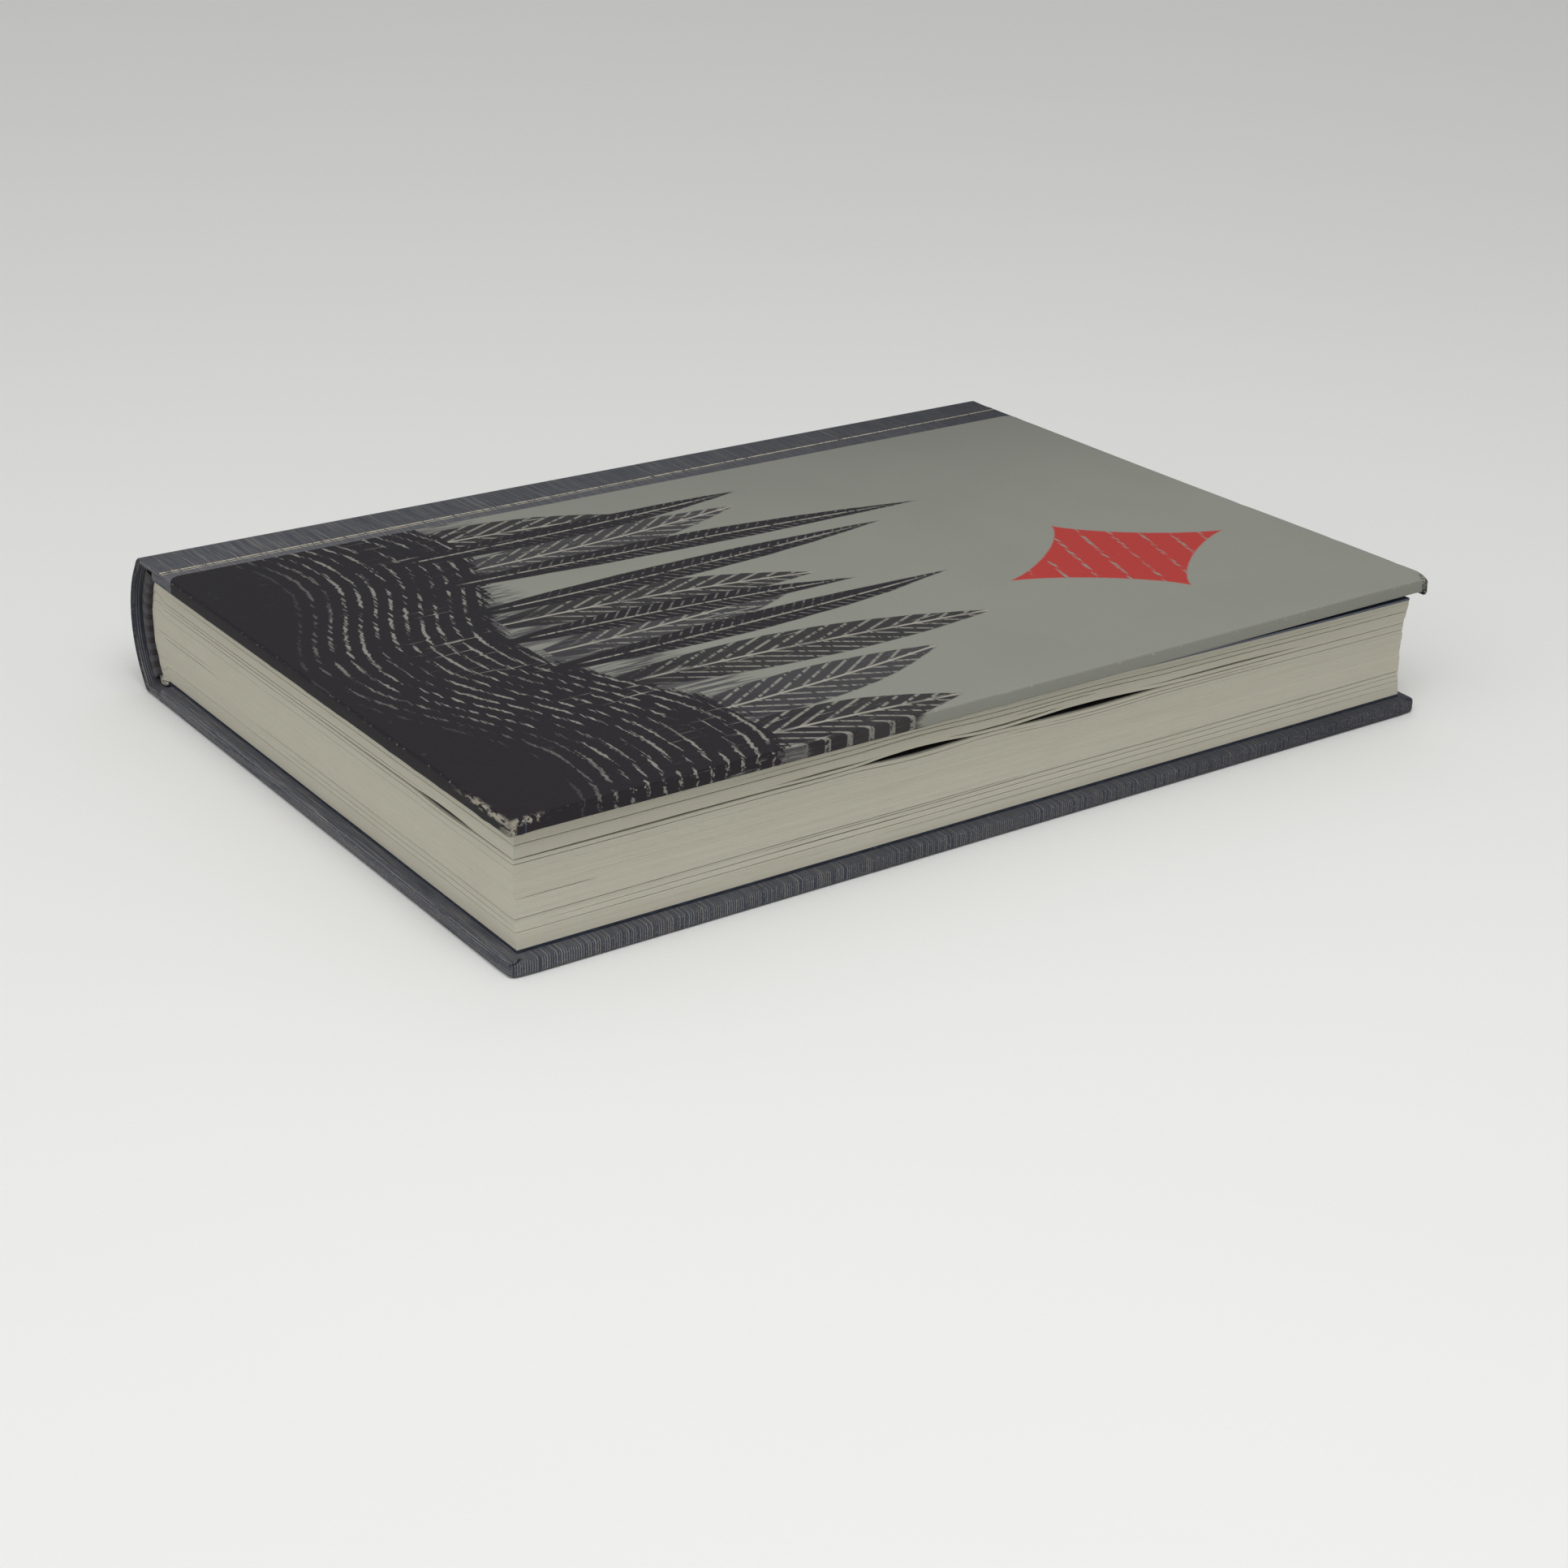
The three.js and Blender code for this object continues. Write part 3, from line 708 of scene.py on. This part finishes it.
def floor_material():
    """A pale seamless floor, barely mottled."""
    s = Surface("floor_sweep", rgb(238, 238, 236), 0.8, specular=0.1)
    s.paint(s.noise(160.0, 2.0).rise(0.3, 0.8) * 0.2, rgb(234, 234, 232))
    return s.done()


# Wear and sag that neighbouring pieces share

DEEPEST_SAG = 1.2
HIGHEST_LIFT = 0.75
CRUSH_REACH = 4.2
BUMP_REACH = 6.0


def head_sag(x, y):
    """How far the leaves have settled under the front board, towards the head's fore edge corner."""
    along = smooth(y, -30.0, PAGES_HALF)
    across = smooth(x, -40.0, PAGES_HIGH[0])
    return DEEPEST_SAG * along * across


def board_lift(x, y):
    """How far the front board has warped up at the same corner."""
    return HIGHEST_LIFT * smooth(y, -20.0, HALF) * smooth(x, -30.0, FORE)


def crushed(x, y, z):
    """The head's fore edge corner of the front board, crushed and blunted."""
    away = math.hypot(FORE - x, HALF - y)
    hit = max(1 - away / CRUSH_REACH, 0.0)
    crumple = ripple(x, y, z, 0.7, 3.1) * 0.5 * hit
    x += -0.25 * hit + ripple(x, y, z, 1.1, 7.7) * 0.35 * hit
    y += -1.1 * max(hit - 0.55, 0.0) + ripple(y, x, z, 1.1, 2.7) * 0.3 * hit
    z += -0.9 * hit ** 1.3 + crumple
    return x, y, z


def bumped(x, y, z):
    """The tail's fore edge corner of the front board, bumped."""
    away = math.hypot(FORE - x, y + HALF)
    hit = max(1 - away / BUMP_REACH, 0.0)
    return x - 0.25 * hit, y + 0.3 * hit, z - 0.35 * hit + ripple(x, y, z, 0.8, 1.3) * 0.25 * hit


def front_wear(point):
    """All that has happened to the front board's surface."""
    x, y, z = bumped(*crushed(*point))
    from_edge = min(FORE - x, HALF - abs(y))
    dent = max(ripple(x, y, 0, 0.16, 5.0) - 0.25, 0.0) * 0.5 * max(1 - from_edge / 2.5, 0.0)
    return x, y, z - dent + ripple(x, y, 0, 0.02, 2.0) * 0.08 + board_lift(x, y)


def back_wear(point):
    """The back board's fore edge corners, a little blunted; its underside stays on the floor."""
    x, y, z = point
    for end in (-1, 1):
        hit = max(1 - math.hypot(FORE - x, end * HALF - y) / 5.0, 0.0)
        x, y = x - 0.3 * hit, y - end * 0.25 * hit
    return x, y, z


# Pieces of the page block

LEAVES = 100
SECTION_LEAVES = 8
LEAF_TOP = 0.8  # share of a leaf's height at which its groove starts
GROOVE = 0.9
HOLLOW = 1.0

# Gaps between leaves, as (leaf, middle, length, height, depth, how far up and down leaves bend)
FORE_GAPS = [
    (74, -22, 30, 1.35, 7, 4), (74, 20, 42, 1.35, 7, 4), (74, 0, 250, 0.2, 1.8, 1),
    (74, -80, 90, 0.26, 2.2, 1), (77, -44, 24, 0.4, 3, 1.5), (77, 0, 30, 0.42, 3, 1.5),
    (78, 58, 46, 0.42, 3, 1.5), (83, 12, 20, 0.2, 1.4, 0.8), (87, 0, 300, 0.19, 1.6, 0.8),
    (92, 20, 170, 0.16, 1.2, 0.8), (70, -70, 160, 0.15, 1.2, 0.8), (70, 40, 60, 0.13, 1, 0.8),
    (67, 60, 120, 0.11, 0.8, 0.8), (40, -102, 16, 0.14, 1, 0.8), (24, -60, 130, 0.15, 1.1, 0.8),
    (22, 30, 180, 0.14, 1, 0.8), (18, 10, 230, 0.13, 1, 0.8), (18, -40, 34, 0.18, 1.2, 0.8),
    (13, 0, 260, 0.11, 0.9, 0.8), (8, 40, 140, 0.1, 0.8, 0.8),
]
TAIL_GAPS = [
    (74, 52, 24, 0.75, 4, 2), (74, 50, 110, 0.26, 2.2, 1), (74, 0, 150, 0.18, 1.5, 1),
    (77, -20, 130, 0.14, 1.1, 0.8), (87, 30, 200, 0.19, 1.6, 0.8), (92, 10, 150, 0.17, 1.3, 0.8),
    (70, 0, 170, 0.16, 1.2, 0.8), (45, -62, 30, 0.14, 1, 0.8), (41, -58, 26, 0.17, 1.1, 0.8),
    (24, 30, 120, 0.11, 0.9, 0.8), (18, 40, 110, 0.12, 1, 0.8), (13, 0, 180, 0.1, 0.8, 0.8),
]


def openings(gaps, along):
    """The gaps that are open at a place along an edge, as [leaf, height, depth, bow]."""
    found = []
    for leaf, centre, length, height, depth, bow in gaps:
        t = abs(along - centre) / (length / 2)
        if t < 1:
            if height > 0.2:
                lens = (1 - t * t) ** 1.4
            else:
                lens = (1 - t ** 6) * (0.8 + 0.35 * ripple(along, leaf, 0, 0.25))
            found.append((leaf, height * lens, depth * min(lens * 2.5, 1.0), bow))
    return found


class Block:
    """The outer shape of the page block, worked out once."""

    def __init__(self):
        back = np.array(spine_section(PAGES_DEPTH))
        top_half = back[back[:, 1] > MIDDLE]
        top_half = top_half[np.argsort(top_half[:, 0])]
        self.flare_x, self.flare_z = top_half[:, 0], top_half[:, 1]
        order = np.argsort(back[:, 1])
        self.back_z, self.back_x = back[order, 1], back[order, 0]

    def rise(self, x):
        """How far the block's top stands above its flat height, near the spine."""
        start = HINGE_X + CUT_REACH
        if x >= start:
            return 0.0
        height = float(np.interp(x, self.flare_x, self.flare_z))
        return max(height - PAGES_TOP, 0.0) * smooth(start - x, 0.0, 2.0)

    def heights(self, x, y):
        """Z of the block's underside and top."""
        rise = self.rise(x)
        return PAGES_BOTTOM - rise, PAGES_TOP + rise - head_sag(x, y)

    def back_at(self, share):
        """X of the block's rounded back at a share of its height."""
        low, high = self.back_z[0] + 0.9, self.back_z[-1] - 0.9
        return float(np.interp(low + (high - low) * share, self.back_z, self.back_x))

    def fore_at(self, share):
        """X of the block's hollow fore edge at a share of its height."""
        hollow = HOLLOW * (1 - (2 * share - 1) ** 2)
        return PAGES_HIGH[0] - hollow


def text_block(material):
    """Every leaf edge is a ridge; gaps open where the leaves have bowed apart."""
    block = Block()
    rng = random.Random(7)
    nx, ny = 50, 88
    across = [(i / nx) ** 1.5 for i in range(nx + 1)]
    ys = [-PAGES_HALF + 2 * PAGES_HALF * j / ny for j in range(ny + 1)]
    loop = [(i, 0) for i in range(nx)] + [(nx, j) for j in range(ny)]
    loop += [(i, ny) for i in range(nx, 0, -1)] + [(0, j) for j in range(ny, 0, -1)]
    push = [rng.gauss(0, 0.012) for _ in range(LEAVES + 1)]
    section_push = [rng.gauss(0, 0.05) for _ in range(LEAVES // SECTION_LEAVES + 2)]

    def x_at(i, share):
        x_back, x_fore = block.back_at(share), block.fore_at(share)
        return x_back + (x_fore - x_back) * across[i]

    open_at = {(nx, j): openings(FORE_GAPS, ys[j]) for j in range(ny + 1)}
    open_at.update({(i, 0): openings(TAIL_GAPS, x_at(i, 0.5)) for i in range(1, nx)})

    def row(leaf, part):
        """One ring of places round the block; part is 0 at a leaf's foot, GROOVE in the groove above it."""
        share = (leaf + part) / LEAVES
        made = []
        for i, j in loop:
            x, y = x_at(i, share), ys[j]
            low, high = block.heights(x, y)
            inset = push[leaf] + section_push[leaf // SECTION_LEAVES]
            inset += 0.05 * ripple(x, y, leaf * 1.7, 0.06, 2.0)
            z = low + (high - low) * share
            wave = 0.22 * ripple(x * 0.6, y * 0.6, leaf // 6, 0.045, 4.0) * math.sin(math.pi * share)
            z += wave * smooth(x, HINGE_X, HINGE_X + 30)
            depth = 0.012 if part == GROOVE else 0.0
            for at, height, deep, bow in open_at.get((i, j), ()):
                away = share - (at + GROOVE) / LEAVES
                if abs(away) < 1e-6:
                    depth = max(depth, deep)
                else:
                    fall = math.exp(-(abs(away) * (high - low) / bow) ** 2)
                    z += math.copysign(height / 2 * fall, away)
            inset += depth
            dx = -inset if i == nx else 0.0
            dy = inset if j == 0 else (-inset if j == ny else 0.0)
            made.append((x + dx, y + dy, z))
        return made

    rows = []
    for leaf in range(LEAVES):
        last = leaf == LEAVES - 1
        rows += [row(leaf, 0.0), row(leaf, 1.0 if last else LEAF_TOP)]
        if not last:
            rows.append(row(leaf, GROOVE))
    count = len(loop)
    vertices = [point for made in rows for point in made]
    faces = []
    for r in range(len(rows) - 1):
        for c in range(count):
            n = (c + 1) % count
            faces.append([r * count + c, r * count + n, (r + 1) * count + n, (r + 1) * count + c])
    place_in_loop = {key: c for c, key in enumerate(loop)}
    for r, up in ((0, False), (len(rows) - 1, True)):
        share = 1.0 if up else 0.0
        known = {}
        for i in range(nx + 1):
            for j in range(ny + 1):
                if (i, j) in place_in_loop:
                    known[i, j] = r * count + place_in_loop[i, j]
                    continue
                x = x_at(i, share)
                z = block.heights(x, ys[j])[1 if up else 0]
                known[i, j] = len(vertices)
                vertices.append((x, ys[j], z - (0.03 if up else -0.03)))
        for i in range(nx):
            for j in range(ny):
                face = [known[i, j], known[i + 1, j], known[i + 1, j + 1], known[i, j + 1]]
                faces.append(face if up else face[::-1])
    piece = make_object("leaves", vertices, faces, material, smooth=False)
    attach(piece, "text_block")
    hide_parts("text_block")


def flyleaf(name, material, front):
    """The free leaf of an endpaper, lying on the block."""
    low, high = LEAF_LOW, LEAF_HIGH
    xs = places(low[0], high[0], 0, 10, 4.0, 2.0)
    ys = places(low[1], high[1], 10, 10, 4.0, 2.0)
    rows = [[(x, y, high[2] - (head_sag(x, y) if front else 0.0)) for y in ys] for x in xs]
    piece = make_object(name, *grid(rows), material)
    thicken(piece, high[2] - low[2] + 0.2)
    if not front:
        turned_over(piece)
    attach(piece, "text_block")
    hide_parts("front_flyleaf" if front else "rear_flyleaf")


BAND_STEPS = 54
BAND_RING = 12
BAND_RIBS = 9
BAND_MORE = 0.9  # how much further up and down it goes than the solid


def end_band(name, node, side, core_material, ribs_material):
    """A rolled band on the end of the block, with silk ribs wound round it at even steps."""
    section = np.array(spine_section(PAGES_DEPTH + 0.55, 8))
    heights = section[:, 1]
    inside = section[(heights > BAND_LOW[2] - BAND_MORE) & (heights < BAND_HIGH[2] + BAND_MORE)]
    picks = np.linspace(0, len(inside) - 1, BAND_STEPS + 1)
    line = [np.array([np.interp(p, range(len(inside)), inside[:, k]) for k in (0, 1)]) for p in picks]

    def ring_at(k, grow):
        before, after = line[max(k - 1, 0)], line[min(k + 1, BAND_STEPS)]
        way = (after - before) / np.linalg.norm(after - before)
        out = np.array((-way[1], way[0]))
        row = []
        for a in range(BAND_RING + 1):
            angle = math.pi * a / BAND_RING
            spread, rise = (1.55 + grow) * math.cos(angle), (1.1 + grow) * math.sin(angle) ** 0.7
            x, z = line[k] + out * spread
            row.append((x, side * PAGES_HALF + side * (rise + 0.02), z))
        return row[::side]

    piece = make_object(name, *grid([ring_at(k, 0.0) for k in range(BAND_STEPS + 1)]), core_material)
    thicken(piece, 0.1, 0.0)
    rib_parts = []
    for n in range(BAND_RIBS):
        first = int((n + 0.5) / BAND_RIBS * BAND_STEPS) - 1
        swell = [0.02 + 0.09 * math.sin(math.pi * (k + 0.3) / 3.6) for k in range(4)]
        rib_parts.append(grid([ring_at(first + k, swell[k]) for k in range(4)]))
    ribs = make_object(name + "_ribs", *joined(*rib_parts), ribs_material)
    thicken(ribs, 0.08, 0.0)
    for made in (piece, ribs):
        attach(made, "text_block")
    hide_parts(node)


# Pieces of the case

def hem_path(half, depth_out, depth_in, turn_in):
    """The way cloth takes along Y: in over one end, along the outside, and in over the other end."""
    radius = (depth_in - depth_out) / 2
    middle = (depth_in + depth_out) / 2
    end = [(half - turn_in, depth_in), (half - turn_in / 2, depth_in), (half - radius - 0.4, depth_in)]
    for k in range(7):
        angle = math.pi * k / 6
        end.append((half - radius + radius * math.sin(angle), middle + radius * math.cos(angle)))
    along = [half - 2 - (2 * half - 4) * k / 70 for k in range(71)]
    return end + [(y, depth_out) for y in along] + [(-y, depth) for y, depth in reversed(end)]


def spine_cloth(material):
    """Cloth over the rounded spine, folded in at both ends, from shoulder to shoulder."""
    path = hem_path(HALF - CLOTH / 2, CLOTH / 2, HEM_DEPTH, TURN_IN)
    rows = []
    for y, depth in path:
        section = spine_section(depth, cover=True)[SPINE_FROM:-SPINE_FROM]
        rows.append([(x, y, z) for x, z in section])
    piece = make_object("spine_cover", *grid(rows), material)
    thicken(piece, CLOTH, 0.0)
    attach(piece, "text_block")
    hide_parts("spine_cloth")


def joint_sheet(top):
    """Joint cloth from the spine's shoulder down into the groove and up onto the board."""
    path = hem_path(HALF, 0.0, HEM_DEPTH + CLOTH / 2, TURN_IN)
    rows = []
    for y, depth in path:
        section = [np.array(p) for p in spine_section(depth, cover=True)[:SPINE_FROM + 1]][::-1]
        end = np.array((CLOTH_START, top - depth))
        last = section[-1]
        for t in (0.35, 0.7, 1.0):
            section.append(last + (end - last) * np.array((t, smooth(t, -0.2, 1.0))))
        rows.append([(x, y, z) for x, z in section])
    return grid(rows)


def front_cloth(material):
    """The joint and the strip of cloth on the front board."""
    low, high = (CLOTH_START, -HALF + 0.06, LIP), (PAPER_LOW[0] + 5.0, HALF - 0.06, CLOTH_TOP)
    strip = slab(low, high, 0.9, 0.6, (FORE, HALF - TURN_IN), ("spine", "fore"))
    piece = make_object("front_joint_cloth", *joined(strip, joint_sheet(CLOTH_TOP)), material)
    thicken(piece, CLOTH * 0.8)
    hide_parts("front_cover_cloth")
    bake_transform(piece)


def back_cloth(material):
    """The back board's cloth and its joint."""
    vertices, faces = slab((CLOTH_START, -HALF, LIP), (FORE, HALF, THICK), 1.3, 0.8,
                           (FORE - TURN_IN, HALF - TURN_IN), ("spine",))
    skin = ([back_wear(point) for point in vertices], faces)
    piece = make_object("back_cover_cloth_skin", *joined(skin, joint_sheet(THICK)), material)
    thicken(piece, CLOTH * 0.8)
    turned_over(piece)
    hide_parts("back_cover_cloth")
    return piece


def rounded_start(x, y, z):
    """The siding's edge on the cloth curves away where it goes over the board's ends."""
    run = 12  # how far from its edge the paper is moved
    from_start = x - PAPER_LOW[0]
    if from_start > run:
        return x, y, z
    curve = max(1 - (HALF - abs(y)) / 3.2, 0.0) ** 2 * 2.6
    return x + curve * (1 - from_start / run), y, z


def siding(material):
    """The printed paper over the front board, turned in on three sides."""
    vertices, faces = slab((PAPER_LOW[0] + 1.4, -HALF, LIP), (FORE, HALF, THICK), 1.1, 0.7,
                           (FORE - TURN_IN, HALF - TURN_IN), ("spine",), step=2.4, fine=0.6, worn=10.0)
    vertices = [front_wear(rounded_start(*point)) for point in vertices]
    piece = make_object("printed_cover_paper", vertices, faces, material)
    thicken(piece, PAPER)
    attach(piece, "front_cover")
    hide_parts("front_cover_paper", "cover_print_dark", "cover_print_red")


def cover_board(name, node, body, material, wear):
    """Binder's board inside a cover."""
    low = (BOARD_LOW[0] + 0.9, -BOARD_HIGH[1] + 0.1, BOARD_LOW[2])
    high = (BOARD_HIGH[0] - 0.1, BOARD_HIGH[1] - 0.1, BOARD_HIGH[2] - 0.05)
    vertices, faces = slab(low, high, 1.6, 0.5, step=6.0, fine=1.5)
    piece = make_object(name, [wear(point) for point in vertices], faces, material)
    if body == "back_cover":
        turned_over(piece)
    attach(piece, body)
    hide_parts(node)


def pastedown(name, node, body, material):
    """The endpaper's fixed leaf, glued over the turn-ins."""
    low, high = PASTEDOWN_LOW, PASTEDOWN_HIGH
    xs = places(low[0], high[0], 0, 8, 4.0, 1.0)
    ys = places(low[1], high[1], 8, 8, 4.0, 1.0)
    rows = [[(x, y, low[2] + 0.02) for y in ys] for x in xs]
    piece = make_object(name, *grid(rows), material)
    thicken(piece, 0.12, 1.0)
    if body == "back_cover":
        turned_over(piece)
    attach(piece, body)
    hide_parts(node)


def endpaper_fold(name, body, material):
    """The endpaper's fold: from the free leaf back along the shoulder, and out again to the board."""
    base = FRONT_HINGE[2] - 0.12
    bends = ((3.6, 0.15), (2.2, 0.5), (1.2, 0.75), (1.2, 1.1), (2.4, 1.15), (3.8, 0.95), (5.2, 0.45))
    path = [(HINGE_X + CUT_REACH + 0.2, base - 0.02), *[(HINGE_X + x, base + z) for x, z in bends],
            (BOARD_LOW[0] + 0.2, base + 0.2)]
    line = curve_through([np.array(p) for p in path], 4)
    ys = places(-PAGES_HALF, PAGES_HALF, 0, 0, 4.0, 2.0)
    rows = [[(x, y, z) for y in ys] for x, z in line]
    piece = make_object(name, *grid(rows), material)
    thicken(piece, 0.15, 0.0)
    start, end = Vector((0, 0, base + 0.3)), Vector((0, 0, base + 1.3))
    if body == "back_cover":
        turned_over(piece)
        start.z, end.z = THICK - start.z, THICK - end.z
    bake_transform(piece)


def frayed_corner(material):
    """The crushed corner's layers of board and paper, split apart and ragged."""
    rng = random.Random(21)
    centre = (FORE - 1.7, HALF - 1.9)
    parts = []
    for n in range(7):
        depth = 0.5 + 0.42 * n
        reach = rng.uniform(1.5, 2.3)
        tilt = rng.uniform(-0.18, 0.18)
        rows = []
        for ring, share in enumerate((0.0, 0.55, 1.0)):
            row = []
            for a in range(25):
                angle = 2 * math.pi * a / 24
                across, up = math.cos(angle), math.sin(angle)
                ragged = 1.0 if ring < 2 else 0.86 + 0.3 * abs(ripple(across * 3, up * 3, n, 1.3))
                x = centre[0] + reach * share * ragged * across
                y = centre[1] + reach * share * ragged * up
                z = THICK - depth + tilt * (x - centre[0]) + 0.12 * ripple(x, y, n, 1.1)
                new_x, new_y, new_z = crushed(x, y, z)
                row.append((new_x, new_y, new_z + board_lift(x, y)))
            rows.append(row)
        parts.append(grid(rows))
    piece = make_object("frayed_corner", *joined(*parts), material)
    thicken(piece, 0.22, 0.0)
    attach(piece, "front_cover")


def spine_layer(name, node, depth, thickness, half, material, cover):
    """A strip inside the spine that follows its curve."""
    skipped = SPINE_FROM + 6
    section = spine_section(depth, cover=cover)[skipped:-skipped]
    rows = [[(x, y, z) for x, z in section] for y in places(-half, half, 0, 0, 6.0, 2.0)]
    piece = make_object(name, *grid(rows), material)
    thicken(piece, thickness, 0.0)
    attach(piece, "text_block")
    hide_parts(node)


# Camera, lights and floor

def direction(azimuth, elevation):
    """The way from the book to a viewer, from degrees; azimuth 0 is off the tail."""
    a, e = math.radians(azimuth), math.radians(elevation)
    return Vector((math.sin(a) * math.cos(e), -math.cos(a) * math.cos(e), math.sin(e)))


def set_camera():
    roll = math.radians(CAMERA_ROLL)
    back = direction(CAMERA_AZIMUTH, CAMERA_ELEVATION)
    right = Vector((0, 0, 1)).cross(back).normalized()
    up = back.cross(right)
    right, up = (math.cos(roll) * right + math.sin(roll) * up, -math.sin(roll) * right + math.cos(roll) * up)
    data = bpy.data.cameras.new("camera")
    data.sensor_width = SENSOR
    data.sensor_fit = "HORIZONTAL"
    data.lens = FOCAL_PIXELS / PHOTO_PIXELS * SENSOR
    data.clip_start, data.clip_end = 0.01, 40.0
    camera = added("camera", data)
    place = Matrix((right, up, back)).transposed().to_4x4()
    place.translation = Vector(CAMERA_PLACE) * MM
    camera.matrix_world = place
    bpy.context.scene.camera = camera


def add_light(name, azimuth, elevation, distance, size, power):
    """A disc of light that faces the book, its distance and size in metres."""
    back = direction(azimuth, elevation)
    data = bpy.data.lights.new(name, "AREA")
    data.shape = "DISK"
    data.size = size
    data.energy = power
    light = added(name, data)
    light.location = back * distance
    light.rotation_mode = "QUATERNION"
    light.rotation_quaternion = (-back).to_track_quat("-Z", "Y")


def set_studio():
    scene = bpy.context.scene
    scene.view_settings.view_transform = "Standard"
    scene.view_settings.look = "None"
    world = bpy.data.worlds.new("studio")
    world.use_nodes = True
    background = world.node_tree.nodes["Background"]
    background.inputs["Color"].default_value = (1.0, 1.0, 1.0, 1.0)
    background.inputs["Strength"].default_value = 0.49
    scene.world = world
    add_light("key", 65, 58, 0.8, 0.5, 2.3)
    add_light("fill", 10, 35, 1.8, 1.4, 6.0)
    add_light("back", 235, 50, 1.8, 1.2, 1.2)
    reach = 12000.0
    corners = [(x * reach, y * reach, -0.05) for x, y in ((-1, -1), (1, -1), (1, 1), (-1, 1))]
    floor = make_object("floor_sweep", corners, [[0, 1, 2, 3]], floor_material(), smooth=False)


def build():
    set_camera()
    set_studio()
    cloth = cloth_material()
    paper = endpaper_material()
    board = board_material()
    text_block(page_material())
    flyleaf("front_free_leaf", paper, True)
    flyleaf("rear_free_leaf", paper, False)
    band, ribs = band_material(), rib_material()
    end_band("tail_band_roll", "tail_band", -1, band, ribs)
    end_band("head_band_roll", "head_band", 1, band, ribs)
    spine_cloth(cloth)
    siding(siding_material())
    cover_board("front_board_core", "front_board", "front_cover", board, front_wear)
    cover_board("back_board_core", "back_board", "back_cover", board, back_wear)
    pastedown("front_fixed_leaf", "front_pastedown", "front_cover", paper)
    pastedown("rear_fixed_leaf", "back_pastedown", "back_cover", paper)
    frayed_corner(fibre_material())
    spine_layer("spine_stiffener", "spine_inlay", 0.6, 0.45, HALF - 1.2, board, True)
    spine_layer("spine_mull", "spine_lining", 1.66, 0.3, PAGES_HALF - 3, lining_material(), False)
    front_cloth(cloth)
    back = back_cloth(cloth)
    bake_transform(back)
    endpaper_fold("front_endpaper_fold", "front_cover", paper)
    endpaper_fold("rear_endpaper_fold", "back_cover", paper)


build()
